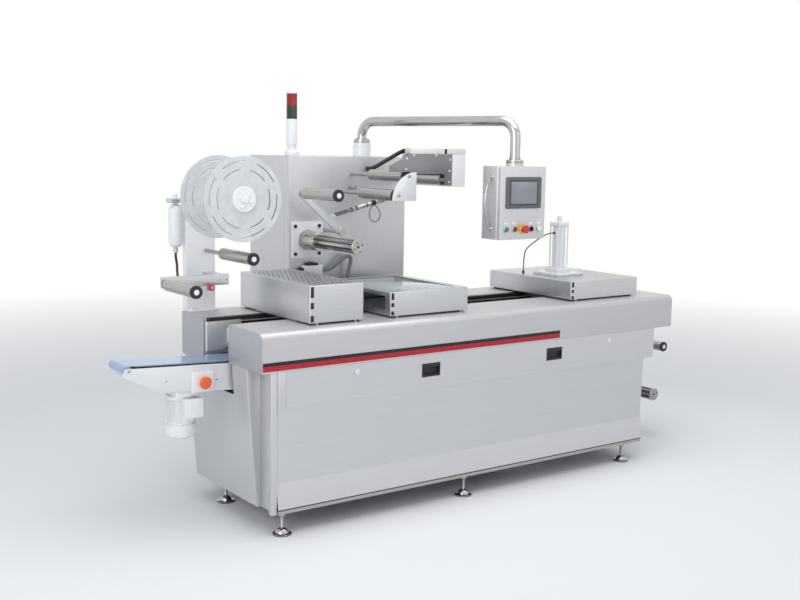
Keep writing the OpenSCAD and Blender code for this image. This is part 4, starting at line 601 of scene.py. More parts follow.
# Deck rails: folded sheet with a rounded front edge
deck = {"x0": -115, "x1": 2496, "z0": 740, "z1": 915, "front": -31, "lane": 274, "laneRear": 530,
        "rear": 765}
arc = arcOf(deck["front"] + 30, deck["z1"] - 30, 30, math.pi, math.pi / 2, 10)
railShape = [(deck["front"], deck["z0"]), *arc, (deck["lane"], deck["z1"]), (deck["lane"], deck["z0"])]
capShape = [(-31, 749), *[(y, z) for y, z in railShape if z > 750 or y > 0], (-5, 740), (-5, 749)]
rearCapShape = [(530, 915), (530, 695), (661, 695), (765, 711), (765, 915)]


def deckRearRail(bm):
    addBlock(bm, (deck["x0"], deck["laneRear"], deck["z0"]), (deck["x1"], deck["rear"], deck["z1"]), 1.5)


def endCap(shape):
    return lambda bm: addPlate(bm, shape, "x", deck["x0"] - 6.3, deck["x0"] - 0.3, 1.2)


def stripe(z0, z1):
    return lambda bm: addBlock(bm, (-112, -32, z0), (1632, -31, z1), 0.2, 1)


build("deckFrontRail", lambda bm: addPlate(bm, railShape, "x", deck["x0"], deck["x1"], 0.8), deckSheet,
      "machine", ["deck_front"])
# The end caps take the darker grey, painted shade of the deck's end faces
build("deckFrontCap", endCap(capShape), shadedCapGrey, "machine")
build("deckRearRail", deckRearRail, deckSheet, "machine", ["deck_rear"])
build("deckRearCap", endCap(rearCapShape), shadedCapGrey, "machine")
build("stripeBlack", stripe(770.8, 787), blackFoil, "machine")
build("stripeRed", stripe(748, 770.4), redFoil, "machine")
print("deck done")


# Chain guides, idle wheels and the gripper chains
race = {"x": -50, "z": 839, "straight": 2481, "radius": 49, "links": 332}
guideShape = [(0, 860), (26, 860), (26, 875), (10, 875), (10, 893), (26, 893), (26, 912), (0, 912)]


def chainGuides(bm):
    x, z = race["x"], race["z"]
    for s, y in ((1, deck["lane"]), (-1, deck["laneRear"])):
        side = bmesh.new()
        addPlate(side, [(y + s * a, b) for a, b in guideShape], "x", -105, 2376, 0.8)
        gap = bmesh.new()
        addRod(gap, (x, 250, z), (x, 560, z), 53, sides=64)
        joinPart(bm, cutAway(side, gap))
        y0, y1 = sorted((y, y + s * 26))
        addRod(bm, (x, y0, z), (x, y1, z), 44.6, 1, 64)


build("chainGuides", chainGuides, blackPlastic, "machine", ["chain_guides"])


def chainRace(t):
    # point at a distance t along the race, by its middle line
    x, z, straight, r = (race[key] for key in ("x", "z", "straight", "radius"))
    half = straight + math.pi * r
    side, t = divmod(t % (2 * half), half)
    past = max(0, t - straight) / r
    p = Vector(around(min(t, straight) - straight / 2, 0, r, math.pi / 2 - past))
    return Vector((x + straight / 2, z)) + (p if side == 0 else -p)


def chains(bm):
    count = race["links"]
    pitch = 2 * (race["straight"] + math.pi * race["radius"]) / count
    plate = [(-4.6, 0), (-2.4, 3.6), (2.4, 3.2), (pitch - 2.4, 3.2), (pitch + 2.4, 3.6), (pitch + 4.6, 0),
             (pitch + 2.4, -3.6), (pitch - 2.4, -3.2), (2.4, -3.2), (-2.4, -3.6)]
    for y, k in product((287, 507), range(count)):
        p, q = chainRace(k * pitch), chainRace((k + 1) * pitch)
        d = (q - p).normalized()
        n = Vector((-d.y, d.x))
        wide = 0 if k % 2 else 1.4
        for a, b in ((y + 0.2 + wide, y + 1.4 + wide), (y + 8.6 - wide, y + 9.8 - wide)):
            addPlate(bm, [tuple(p + d * u + n * v) for u, v in plate], "y", a, b)
        addRod(bm, (p.x, y + 0.1, p.y), (p.x, y + 9.9, p.y), 2.6, sides=8)


build("gripperChains", chains, chainSteel, "machine", ["transport_chains"], clean=False)


# Exit: closing sheets at the end of the lane, a slide further in, and the bright edge strip
def exitSheets(bm):
    addBlock(bm, (-114.7, 502, 757), (-112.7, 529.7, 896), 0.4)
    addBlock(bm, (-114.7, 274.3, 833), (-112.7, 302, 896), 0.4)
    addBlock(bm, (-114.7, 300.3, 814), (62, 302, 896), 0.4)
    arc = arcOf(-42.7, 795, 38, -math.pi / 2, 0, 12)
    addPlate(bm, [(-114.7, 896), (-114.7, 757), *arc, (62, 795), (62, 896)], "y", 502, 503.7, 0.3)
    addPlate(bm, sheetOutline([(60, 833), (60, 759), (24, 759)], 2, 36, 10), "y", 301.7, 502.3)


build("exitSheets", exitSheets, brushedUp, "machine", ["exit_chute"], width=0.3)
build("exitStrip", lambda bm: addBlock(bm, (-119, 498, 757), (-114.9, 506, 896), 0.8), whitePlastic,
      "machine")
print("lane done")

# Tower: front tray, rear box and the electrics cabinet under it
tower = {"x0": 457, "x1": 1181, "z0": deckTop, "z1": 1665}


def towerShells(bm):
    x0, x1, z0, z1 = (tower[key] for key in ("x0", "x1", "z0", "z1"))
    addBlock(bm, (x0, 740, z0), (x1, 785, z1), 2.5, 3)
    addBlock(bm, (x0, 785.3, z0), (x1, 1156, z1), 2.5, 3)
    addBlock(bm, (x0, 793, 150), (x1, 1153.5, 915), 2.5, 3)
    addBlock(bm, (x0, 740, 661), (x1, 793, 710.7), 1.5)
    for x in (x0 + 18, x0 + 364):
        addBlock(bm, (x, 1153, 170), (x + 342, 1156, 897), 1.2)


build("towerShells", towerShells, brushedUp, "machine", ["tower_housing"])
arm = {"foot": (969, 850), "end": (1240.97, -80.05), "turn": -73.7, "bend": 80, "level": 1770}


def armSocket(bm):
    x, y = arm["foot"]
    addRod(bm, (x, y, 1665.3), (x, y, 1736.7), 47, 2, 64, inner=20.06)
    for a, b in ringOf(0, 0, 1, 4, math.pi / 4):
        addBolt(bm, (x + 47 * a, y + 47 * b, 1715), (a, b, 0), 4, 2)


build("armSocket", armSocket, whitePlastic, "machine")
beacon = {"at": (502, 790, 1665.3), "cap": [(28, 311), (28, 322), (26, 326.5), (20, 328.6), (0, 328.7)],
          "foot": [(36, 0), (38, 2), (38, 18), (33, 25), (27, 28), (24, 30), (24, 52), (26, 54), (28, 56),
                   (28, 180), (26.5, 183.8)]}


def lampStack(bm):
    for key in ("foot", "cap"):
        addLathe(bm, beacon["at"], toTop, beacon[key], 56)


def lens(z0, z1):
    def maker(bm):
        count = 11
        step = (z1 - z0 - 3) / count
        rings = [(27, z0)]
        for k in range(count):
            rings += [(26.4, z0 + 1.5 + step * k), (28, z0 + 1.5 + step * (k + 0.5))]
        addLathe(bm, beacon["at"], toTop, [*rings, (26.4, z1 - 1.5), (27, z1)], 56)
    return maker


build("lampStack", lampStack, whitePlastic, "machine", ["beacon"])
build("lampGreen", lens(184, 248.7), lensGreen, "machine")
build("lampRed", lens(249, 310.7), lensRed, "machine")

# Column and the scrap winder on it
column = {"x0": -107, "x1": 45, "foot": 925}
winder = {"x": -40, "z": 1474, "radius": 192, "discs": (275, 525), "slotRows": (0.68, 0.87)}


def scrapColumn(bm):
    addBlock(bm, (column["x0"], 740, column["foot"]), (column["x1"], 782, 1525), 2.5, 3)
    addBlock(bm, (column["x0"], 700, deckTop), (column["x1"], 782, column["foot"]), 1.5)
    for x in (-90, -31, 28):
        addHex(bm, (x, 718, column["foot"]), toTop, 13, 6)


build("scrapColumn", scrapColumn, whiteCoat, "machine", ["scrap_column"])


def winderBearing(bm):
    addRod(bm, (winder["x"], 700, winder["z"]), (winder["x"], 740, winder["z"]), 30, 2, 48, inner=12.06)


build("winderBearing", winderBearing, turned, "machine")


# Winder discs: clear sheet with curved slots
def slotShapes(inside, outside):
    shapes = []
    for share, k in product(winder["slotRows"], range(6)):
        start = -math.radians(60 * (k + share))
        end = start - math.radians(42)
        rim, core = (arcOf(winder["x"], winder["z"], share * winder["radius"] + by, start, end, 10)
                     for by in (outside, inside))
        shapes.append(rim + core[::-1])
    return shapes


def winderDisc(y):
    def maker(bm):
        r = winder["radius"]
        profile = [(12.4, 0), (r - 1.5, 0), (r, 1.2), (r, 2.8), (r - 1.5, 4), (12.4, 4)]
        addLathe(bm, (winder["x"], y, winder["z"]), toRear, profile, 96, closed=True)
        cutter = bmesh.new()
        for shape in slotShapes(-2.6, 2.6):
            addPlate(cutter, shape, "y", y - 5, y + 9)
        return cutAway(bm, cutter)
    return maker


def slotEdges(bm):
    # dark strips inside the slots: painted shade on the slot walls
    for y, shape in product(winder["discs"], slotShapes(0.9, 2.5)):
        addPlate(bm, shape, "y", y + 0.3, y + 3.7)


front, rear = winder["discs"]
build("winderDiscFront", winderDisc(front), acrylic, "winder", ["winder_discs"], clean=False)
build("winderDiscRear", winderDisc(rear), acrylic, "winder", clean=False)
# Dark strips in the slots are painted shade of the slot walls
build("slotEdges", slotEdges, blackOxide, "winder")


def winderHub(bm):
    x, z = winder["x"], winder["z"]
    addLathe(bm, (x, 279, z), toRear, [(51, 0), (53, 2), (53, 244), (51, 246)], 72)
    addRod(bm, (x, 529, z), (x, rearPlane, z), 12, 1)
    addLathe(bm, (x, 264, z), toRear, [(20, 1.5), (21, 0.8), (55, 0), (58, 3), (58, 10.7)], 72)


build("winderHub", winderHub, whitePlastic, "winder", ["winder_hub"])


def winderKnobs(bm):
    addPlate(bm, fluted(winder["x"], winder["z"], 20, 1.4, 36), "y", 257, 265.5, 1)
    for x, z in ((-13, 1464), (-54, 1441)):
        addRod(bm, (x, 255, z), (x, 264.5, z), 9, 2, 28)
        addHex(bm, (x, 256, z), toFront, 9, 2)


build("winderKnobs", winderKnobs, motorPaint, "winder")


# Air preparation bottle and its bracket
bottleAt = {"x": -152, "y": 760, "z": 1221, "radius": 33}


def bottle(bm):
    x, y, z, r = bottleAt.values()
    quarter = [math.pi / 2 * k / 7 for k in range(8)]
    low = [(r * math.sin(t), 26 - 26 * math.cos(t)) for t in quarter[1:]]
    high = [(r * math.cos(t), 178 + 34 * math.sin(t)) for t in quarter[:7]]
    addLathe(bm, (x, y, z), toTop, [(0, 0), *low, *high, (12, 213), (12, 259)], 56)
    for band in (z + 41, z + 159):
        addRod(bm, (x, y, band), (x, y, band + 6), r + 0.6, 1, 56)


build("airBottle", bottle, whitePlastic, "machine", ["air_unit"])


def bottleMetal(bm):
    x, y, z, r = bottleAt.values()
    addBlock(bm, (x - r, y - r, 1436), (-107.3, y + r, 1458), 3)
    addRod(bm, (x, y, z - 22), (x, y, z), 12, 1.5)
    addHex(bm, (x, y, z - 17), toTop, 26, 8)


build("bottleBracket", bottleMetal, milled, "machine")
print("tower and winder done")

# Brackets of the web path
web = {"scrap": (-3, 1205), "exit": (-284, 1073), "lower": (775, 1482), "upper": (835, 1575),
       "head": (1065, 1557), "bottom": (2777, 550), "topShaft": (560, 1238), "bottomShaft": (2712, 263),
       "pivot": (679, 1286)}


def bracketPlate(bm):
    addPlate(bm, roundRect(-306, 1055, 38, 1107, 5), "y", 578, 590, 1)
    lug = [(-81, 1056), (-81, 1040), (-74, 1031), (-56, 1031), (-49, 1040), (-49, 1056)]
    addPlate(bm, lug, "y", 578, 590, 0.8)
    addBlock(bm, (-22, 590, 1061), (38, rearPlane, 1101), 2)
    for x in (-11, 27):
        addBolt(bm, (x, 578, 1081), toFront, 4, 4)


build("bracketPlate", bracketPlate, milled, "machine", ["web_brackets", "screws"])

# Film shafts with their flanges and housings
filmShafts = {"flange": rearPlane - 10, "housing": 600, "seat": 599.4, "front": 262.2}


def shaftFlange(at):
    x, z = at
    outline = roundRect(x - 93, z - 93, x + 93, z + 93, 6)
    return lambda bm: addPlate(bm, outline, "y", filmShafts["flange"], rearPlane, 1)


def flangeBolts(at):
    x, z = at

    def maker(bm):
        for i, k in product((-71, 71), repeat=2):
            addBolt(bm, (x + i, filmShafts["flange"], z + k), toFront, 9, 6)
    return maker


def shaftHousing(at):
    x, z = at
    profile = [(20.06, 0), (46, 0), (48, 2), (48, 18), (46.8, 19), (46.8, 21), (48, 22), (48, 122),
               (52, 130), (20.06, 130)]
    return lambda bm: addLathe(bm, (x, filmShafts["housing"], z), toRear, profile, 72, closed=True)


def filmShaft(at):
    # expanding shaft: a core with eight raised keys and a thin end disc
    x, z = at
    key = ((31.5, -0.30), (31.5, -0.17), (35, -0.145), (35.2, 0), (35, 0.145), (31.5, 0.17))
    shape = [around(x, z, r, math.tau * k / 8 + w) for k in range(8) for r, w in key]

    def maker(bm):
        addPlate(bm, shape, "y", filmShafts["front"], filmShafts["seat"], 0.6)
        disc = [(12, 1), (13, 0), (35.8, 0), (37, 1.2), (37, 6.8), (35.8, 8)]
        addLathe(bm, (x, 254, z), toRear, disc, 72)
        addRod(bm, (x, filmShafts["seat"], z), (x, 735, z), 20, 1)
    return maker


def shaftGrooves(at):
    # dark floors between the keys, the dark screws of the end disc, and a dark disc at its centre that is
    # painted shade of the centre hole
    x, z = at
    groove = ((30.8, -0.13), (32.3, -0.13), (32.3, 0.13), (30.8, 0.13))

    def maker(bm):
        for k in range(8):
            shape = [around(x, z, r, math.tau * (k + 0.5) / 8 + w) for r, w in groove]
            addPlate(bm, shape, "y", 264, 597)
        for a, b in ringOf(x, z, 24, 4, 0.4):
            addRod(bm, (a, 253, b), (a, 255, b), 3.4, 0.4, 16)
        # dark disc at the centre: painted shade of the centre hole
        addRod(bm, (x, 252.6, z), (x, 255.2, z), 6, 0.6, 24)
    return maker


for name, key, node in (("top", "topShaft", "top_mandrel"), ("bottom", "bottomShaft", "bottom_mandrel")):
    build(name + "ShaftFlange", shaftFlange(web[key]), whiteCoat, "machine")
    build(name + "ShaftHousing", shaftHousing(web[key]), turned, "machine")
    build(name + "FlangeBolts", flangeBolts(web[key]), blackOxide, "machine")
    build(name + "FilmShaft", filmShaft(web[key]), turned, node + "_body", [node])
    build(name + "ShaftGrooves", shaftGrooves(web[key]), blackOxide, node + "_body")


def quarterPlate(bm):
    x, z = 881, 1456
    addPlate(bm, [(x, z), *arcOf(x, z, 140, math.pi / 2, math.pi, 24)], "y", 230, 238, 1)


build("quarterPlate", quarterPlate, blastPlate, "machine")
build("towerStub", lambda bm: addRod(bm, (825, 690, 1506), (825, rearPlane, 1506), 12, 1.5), turned,
      "machine")


def reelPlate(bm):
    addPlate(bm, roundRect(2190, 190, 2830, 610, 12), "y", 740, 752, 1.2)
    for x, z in product((2215, 2262), (215, 585)):
        addBolt(bm, (x, 740, z), toFront, 6, 5)


build("reelPlate", reelPlate, milled, "machine")


def sensorBox(bm):
    addBlock(bm, (527, 699.7, 1056), (639, rearPlane, 1108), 9, 4)


def sensorPlug(bm):
    addRod(bm, (505, 719, 1084), (529, 719, 1084), 13, 2)
    addRod(bm, (510, 719, 1084), (516, 719, 1084), 15, 1)
    addBlock(bm, (545, 703, 1106), (612, 737, 1120), 4, 3)
    addRod(bm, (578, 719, 1117), (578, 719, 1125), 11, 1.5)


build("sensorBox", sensorBox, whitePlastic, "machine")
build("sensorPlug", sensorPlug, blackPlastic, "machine")

# Fixed axles and the running rollers
axles = {"lower": (238, rearPlane), "upper": (238, rearPlane), "scrap": (250, rearPlane),
         "exit": (250, 577.7), "head": (248.3, 567.7), "bottom": (250, rearPlane)}


def fixedAxles(bm):
    for key, (y0, y1) in axles.items():
        x, z = web[key]
        addRod(bm, (x, y0, z), (x, y1, z), 10, 0.8)
    for key in ("lower", "upper"):
        x, z = web[key]
        addBolt(bm, (x, 230, z), toFront, 8, 6)


build("rollerAxles", fixedAxles, turned, "machine", ["roller_axles"])


def rollerTube(at, y0, y1, r):
    x, z = at
    long = y1 - y0
    profile = [(10.3, 4), (r - 0.5, 4), (r - 0.5, 12), (r, 12.6), (r, long - 0.8), (r - 0.8, long),
               (10.3, long)]
    return lambda bm: addLathe(bm, (x, y0, z), toRear, profile, 56, closed=True)


def rollerRing(at, y0, r):
    x, z = at
    profile = [(12.6, 0.8), (13.4, 0), (r, 0), (r + 1, 1), (r + 1, 11), (r, 12), (12.6, 12)]
    return lambda bm: addLathe(bm, (x, y0, z), toRear, profile, 56, closed=True)


def rollerCap(at, y0):
    x, z = at
    profile = [(12.4, 0.4), (12.4, 1.2), (11.6, 2), (4, 2), (3.4, 1.4)]
    return lambda bm: addLathe(bm, (x, y0, z), toFront, profile, 40)


dancer = {"long": 306, "turn": math.radians(139.6)}
web["dancer"] = around(*web["pivot"], dancer["long"], dancer["turn"])
rollers = {"scrap": 250.3, "exit": 250.3, "dancer": 250.3, "lower": 250, "upper": 250, "head": 260,
           "bottom": 250.3}
for name, y0 in rollers.items():
    at = web[name]
    y1, r = (546, 27) if name == "head" else (553, 28)
    build(name + "Roller", rollerTube(at, y0, y1, r), turned, name + "_roller_body", [name + "_roller"])
    if name != "head":
        build(name + "RollerRing", rollerRing(at, y0, r), rubber, name + "_roller_body")
    if name not in ("head", "lower", "upper"):
        build(name + "RollerCap", rollerCap(at, y0), whitePlastic, name + "_roller_body")


# Red clamp knob: a fluted grip on its stud
def clampKnob(bm):
    addPlate(bm, fluted(-65, 1047, 15, 1.1, 32), "y", 546, 573, 1.2)
    addRod(bm, (-65, 572, 1047), (-65, 577.5, 1047), 10, 0.6)


build("clampKnob", clampKnob, clampRed, "clamp", ["clamp_knob"])
build("clampKnobCap", lambda bm: addRod(bm, (-65, 543.5, 1047), (-65, 590, 1047), 7, 0.8), milled,
      "clamp")


# Dancer arm, damper and spring
def dancerArm(bm):
    along = Vector(around(0, 0, 1, dancer["turn"]))
    base, tip = Vector(web["pivot"]), web["dancer"]
    mid = base + along * 86
    lug = mid + Vector((along.y, -along.x)) * 30
    addPlate(bm, capsule(base, base + along * dancer["long"], 22, 20.5), "y", 590.2, 602, 1)
    addPlate(bm, capsule(mid, lug, 12, 12), "y", 590.4, 601.8, 0.8)
    addRod(bm, (base.x, 588, base.y), (base.x, rearPlane, base.y), 12, 1)
    addRod(bm, (tip[0], 250, tip[1]), (tip[0], 590.5, tip[1]), 10, 0.8)
    addRod(bm, (lug.x, 601, lug.y), (lug.x, 626, lug.y), 7, 0.8)
    addBolt(bm, (lug.x, 590.4, lug.y), toFront, 6, 4)


build("dancerArm", dancerArm, milled, "dancer", ["dancer_arm"])
build("dancerBoss", lambda bm: addRod(bm, (679, 584, 1286), (679, 590.3, 1286), 20, 2), turned, "dancer")
damper = {"stud": Vector((971, 1447)), "lug": Vector((632.94, 1364.58)), "y": 620}
damperWay = (damper["stud"] - damper["lug"]).normalized()
barrel = {"low": damper["lug"].lerp(damper["stud"], 0.33), "high": damper["stud"] - damperWay}


def alongDamper(bm, a, b, radius, bevel):
    addRod(bm, (a.x, damper["y"], a.y), (b.x, damper["y"], b.y), radius, bevel)


def damperBody(bm):
    x, z = damper["stud"]
    alongDamper(bm, barrel["low"], barrel["high"], 12, 2)
    addRod(bm, (x, 606, z), (x, rearPlane, z), 7, 0.8)
    addLathe(bm, (x, 603, z), toRear, [(10, 0), (11, 1), (11, 5)], 32)


def damperRings(bm):
    for share in (0.02, 0.16, 0.44, 0.58, 0.86):
        p = barrel["low"].lerp(barrel["high"], share)
        alongDamper(bm, p, p + damperWay * 8, 12.5, 1)
    alongDamper(bm, Vector((882, 1425.3)), Vector((902, 1430.2)), 14, 1)


build("damperBody", damperBody, polished, "machine")
build("damperRings", damperRings, blackOxide, "machine")


def dancerSpring(bm):
    y = damper["y"]
    a, b = damper["lug"] + damperWay * 7.3, barrel["low"] - damperWay * 0.3
    body = (b - a).length - 12
    n = Vector((-damperWay.y, damperWay.x))
    count, perTurn = 240, 24
    line = [(a.x, y, a.y)]
    for i in range(count + 1):
        t = math.tau * i / perTurn
        w = 9 * min(1, i / 12, (count - i) / 12)
        c = a + damperWay * (6 + body * i / count) + n * (w * math.cos(t))
        line.append((c.x, y + w * math.sin(t), c.y))
    addTube(bm, [*line, (b.x, y, b.y)], 1.5, 8)


build("dancerSpring", dancerSpring, blackOxide, "machine", ["dancer_spring"])
print("web path done")


# Film head
def headFront(bm):
    addPlate(bm, [(887, 1596), (887, 1590), (1065, 1590), (1065, 1530), (1109, 1530), (1109, 1684),
                  (853, 1684), (728, 1626), (728, 1596)], "y", 240, 248, 1)


def headBolts(bm):
    for x, z in ((827, 1661), (823, 1610), (869, 1678), (1006, 1679), (1094, 1658), (1092, 1602),
                 (1090, 1547)):
        addBolt(bm, (x, 240, z), toFront, 5, 3.5)


def headRear(bm):
    addPlate(bm, [(1040, 1530), (1194, 1530), (1194, 1684), (1040, 1684)], "y", 568, 576, 1)
    for x in (1053, 1121):
        addBlock(bm, (x, 576, 1545), (x + 40, rearPlane, 1585), 3)
    for x in (1060, 1160):
        addBolt(bm, (x, 568, 1655), toFront, 4, 3.5)


def headBox(bm):
    addBlock(bm, (1109.3, 240, 1523), (1194, 567.7, 1684), 2.5, 3)
    addBlock(bm, (1108.6, 262, 1540), (1110, 546, 1668), 0.8)
    for y, z in product((268, 540), (1545, 1662)):
        addBolt(bm, (1108.6, y, z), toLeft, 3, 2)


def headCover(bm):
    addBlock(bm, (853, 240, 1684.3), (1076, 254, 1712), 1.5)
    addBlock(bm, (1058, 240, 1684.3), (1194, 576, 1712), 2)


build("headFrontPlate", headFront, headPlate, "machine", ["film_head"])
build("headBolts", headBolts, whitePlastic, "machine")
build("headRearPlate", headRear, milled, "machine")
build("headEndBox", headBox, whiteCoat, "machine")
build("headTopCover", headCover, blastPlate, "machine")
bladeShape = [(889, 1588), (1063, 1588), (1063, 1582), (889, 1584)]
build("filmBlade", lambda bm: addPlate(bm, bladeShape, "y", 256, 259, 0.5), blackPlastic, "machine")
print("film head done")


# Covers over the stations: folded sheet boxes, open underneath, with rounded edges
def coverShell(x0, x1, top, y1, holes):
    def maker(bm):
        wall = 2
        levels = ((wall, top - wall), (wall, coverFoot), (0, coverFoot), (0, top - 3.5), (0.5, top - 1.6),
                  (1.6, top - 0.5), (3.5, top))
        rings = [[bm.verts.new((*p, z)) for p in roundRect(x0 + by, 60 + by, x1 - by, y1 - by, 7 - by, 5)]
                 for by, z in levels]
        for a, b in zip(rings, rings[1:]):
            for i in range(len(a)):
                j = (i + 1) % len(a)
                bm.faces.new((a[i], a[j], b[j], b[i]))
        bm.faces.new(rings[0][::-1])
        bm.faces.new(rings[-1])
        cutter = bmesh.new()
        holes(cutter)
        return cutAway(bm, cutter)
    return maker


def perforation(bm):
    for i, k in product(range(1, 10), range(1, 26)):
        x, y = 190 + 24 * (i + k % 2 / 2), 74 + 24 * k
        addRod(bm, (x, y, 1088), (x, y, 1100), 7, sides=12)


def windowCuts(bm):
    addBlock(bm, (663, 106, 1030), (1039, 629, 1045))
    for i, y in product(range(9), (83, 652)):
        x = 663 + 41.78 * i
        addBlock(bm, (x - 3, y - 4, 1030), (x + 23, y + 4, 1045))
    addBlock(bm, (610, 106, 948), (625, 629, 1015))


def louvreCuts(bm):
    # slanting slots, cut off at the rim of the top
    turn = math.radians(35)
    for i in range(1, 17):
        x = 1807 + 45.44 * i
        t0 = max(14 / math.cos(turn), (x - 2284) / math.sin(turn))
        t1 = min(460, (x - 1810) / math.sin(turn))
        if t1 - t0 > 12:
            ends = [Vector((x - t * math.sin(turn), 60 + t * math.cos(turn))) for t in (t0, t1)]
            across = Vector((math.cos(turn), math.sin(turn))) * 8
            shape = [ends[0], ends[0] + across, ends[1] + across, ends[1]]
            addPlate(bm, [(p.x, p.y) for p in shape], "z", 1012, 1030)


def pins(x0, x1, y1):
    def maker(bm):
        for x, y in product((x0, x1), (67, y1 - 7)):
            addRod(bm, (x, y, deckTop), (x, y, 928), 5.7, 0.8, 24)
    return maker


def coverFootShade(x0, x1, y1):
    # black strip round the foot, set back behind the pins: painted shade in the gap under the cover
    def maker(bm):
        a0, a1, b0, b1 = x0 + 16, x1 - 16, 80, y1 - 20
        for low, high in (((a0, b0), (a1, b0 + 6)), ((a0, b1 - 6), (a1, b1)), ((a0, b0), (a0 + 6, b1)),
                          ((a1 - 6, b0), (a1, b1))):
            addBlock(bm, (*low, 917), (*high, 928), 1)
    return maker


def coverSeam(x0, top):
    # dark joint of the folded corner at the front left
    def maker(bm):
        height = top - coverFoot
        for low, high in ((0.03, 0.2), (0.38, 0.55), (0.68, 0.97)):
            z0, z1 = coverFoot + height * low, coverFoot + height * high
            addBlock(bm, (x0 + 3, 59.2, z0), (x0 + 20, 60.6, z1), 0.3)
    return maker


covers = [("cutting", 176, 465, 1095, 732, perforation), ("sealing", 617, 1085, 1038, 675, windowCuts),
          ("forming", 1793, 2304, 1021, 732, louvreCuts)]
for name, x0, x1, top, y1, cuts in covers:
    body = name + "_cover"
    build(name + "Cover", coverShell(x0, x1, top, y1, cuts), coverSheet, body, ["cover_" + name])
    build(name + "CoverPins", pins(x0 + 42, x1 - 42, y1), polished, body)
    # Black strip under the foot: painted shade in the gap between deck and cover
    build(name + "CoverSeal", coverFootShade(x0, x1, y1), rubber, body)
    build(name + "CoverSeam", coverSeam(x0, top), rubber, body)
build("sealingWindow", lambda bm: addBlock(bm, (655, 98, 1033.7), (1047, 637, 1035.7), 0.5), windowClear,
      "sealing_cover", ["sealing_window"])


# Plug cylinder on the forming cover
plug = {"x": 1990, "y": 372, "base": 1021.3, "plate": 1036.3, "low": 1058.3, "high": 1292.3, "top": 1314.3}


def squarePlate(bm, half, radius, z0, z1):
    x, y = plug["x"], plug["y"]
    addPlate(bm, roundRect(x - half, y - half, x + half, y + half, radius), "z", z0, z1, 1.5)


def fourAround(step):
    return [(plug["x"] + i, plug["y"] + k) for i, k in product((-step, step), repeat=2)]


def plugBarrel(bm):
    x, y = plug["x"], plug["y"]
    squarePlate(bm, 52.5, 6, plug["plate"], plug["low"])
    addLathe(bm, (x, y, plug["low"]), toTop, [(36, 0), (36, 234)], 64)
    squarePlate(bm, 40, 8, plug["high"], plug["top"])
    for a, b in fourAround(34):
        addRod(bm, (a, b, 1056), (a, b, plug["top"] + 4), 4.5, 0.6, 20)
        addHex(bm, (a, b, plug["top"]), toTop, 6, 6)
    addLathe(bm, (x, y, plug["top"]), toTop, [(19, 0), (19, 4), (14, 5), (14, 30), (13, 31), (13, 35)])
    for a, b in fourAround(84):
        addRod(bm, (a, b, plug["plate"]), (a, b, 1056), 5, 0.6, 20)
        addHex(bm, (a, b, 1045), toTop, 9, 8)
        addLathe(bm, (a, b, 1056), toTop, [(7, 0), (7, 3), (6, 4.3)], 24)


def plugFittings(bm):
    addRod(bm, (1845, 500, plug["base"]), (1845, 500, 1036), 7, 1)
    addHex(bm, (1845, 500, 1024), toTop, 9, 7)
    addRod(bm, (1962, plug["y"], 1255), (1947, plug["y"], 1255), 7, 1)


build("plugBasePlate", lambda bm: squarePlate(bm, 100, 6, plug["base"], plug["plate"]), blastPlate,
      "forming_cover", ["plug_cylinder"])
build("plugBarrel", plugBarrel, blastPlate, "forming_cover")
build("plugFittings", plugFittings, blackPlastic, "forming_cover")
print("covers done")


# Control arm: a bent tube between two flanges
def controlArm(bm):
    way = Vector(around(0, 0, 1, math.radians(arm["turn"])))
    foot, end, r = Vector(arm["foot"]), Vector(arm["end"]), arm["bend"]
    line = [(*foot, 1756), (*foot, arm["level"])]
    for base, centre, start in ((foot, r, math.pi), (end, -r, math.pi / 2)):
        for along, z in arcOf(centre, arm["level"], r, start, start - math.pi / 2, 12):
            line.append((*(base + way * along), z))
    addTube(bm, [*line, (*end, 1766), (*end, 1665)], 25.4, 40)


def armFlanges(bm):
    foot, end = arm["foot"], arm["end"]
    addLathe(bm, (*foot, 1737), toTop, [(42, 0.3), (44, 2), (44, 17), (42, 19), (29, 19), (29, 26)], 64)
    for spot in ringOf(*foot, 35, 6):
        addBolt(bm, (*spot, 1756), toTop, 4, 4)
    addLathe(bm, (*end, 1649), toTop, [(41, 0), (43, 2), (43, 10.4), (41.5, 12), (28.4, 12), (28.4, 24)], 64)
    addRod(bm, (*end, 1633.3), (*end, 1650), 15)
    addRod(bm, (*foot, 1662), (*foot, 1738), 20)
    for spot in ringOf(*end, 36, 5, 0.3):
        addBolt(bm, (*spot, 1661), toTop, 3.4, 3)


build("controlArmTube", controlArm, polished, "arm", ["control_arm"])
build("armFlanges", armFlanges, turned, "arm")


# Operator box
box = {"x0": 1096.97, "x1": 1384.97, "z0": 1283, "z1": 1633, "face": -149.4, "rear": -10.55}


def boxShell(bm):
    outline = roundRect(box["x0"], -127.2, box["x1"], box["rear"], 10, 4)
    addPlate(bm, outline, "z", box["z0"], box["z1"], 2.5, 3)
    addLathe(bm, (*arm["end"], 1632.6), toTop, [(43, 0), (43, 14), (41, 16), (16, 16)], 64)
    addBlock(bm, (1384.4, -118, 1300), (1385.2, -20, 1616), 0.3)
    for z in (1330, 1586):
        addRod(bm, (1385.1, -124, z - 22), (1385.1, -124, z + 22), 4.5, 1, 20)


def boxLid(bm):
    addPlate(bm, roundRect(box["x0"], box["z0"], box["x1"], box["z1"], 8, 4), "y", -149.55, -127.9, 2.2, 3)


def bowHandle(bm):
    x, y, ends = 1097.5, arm["end"][1], (1333, 1583)
    turns = [math.radians(-30.6 + 61.2 * k / 24) for k in range(25)]
    bow = [(1266.7 - 205.7 * math.cos(a), y, 1458 + 245.6 * math.sin(a)) for a in turns]
    addTube(bm, [(x, y, ends[0]), *bow, (x, y, ends[1])], 6, 24)
    for z in ends:
        addLathe(bm, (x - 0.1, y, z), toLeft, [(12, 0), (12, 3), (9, 5)], 32)


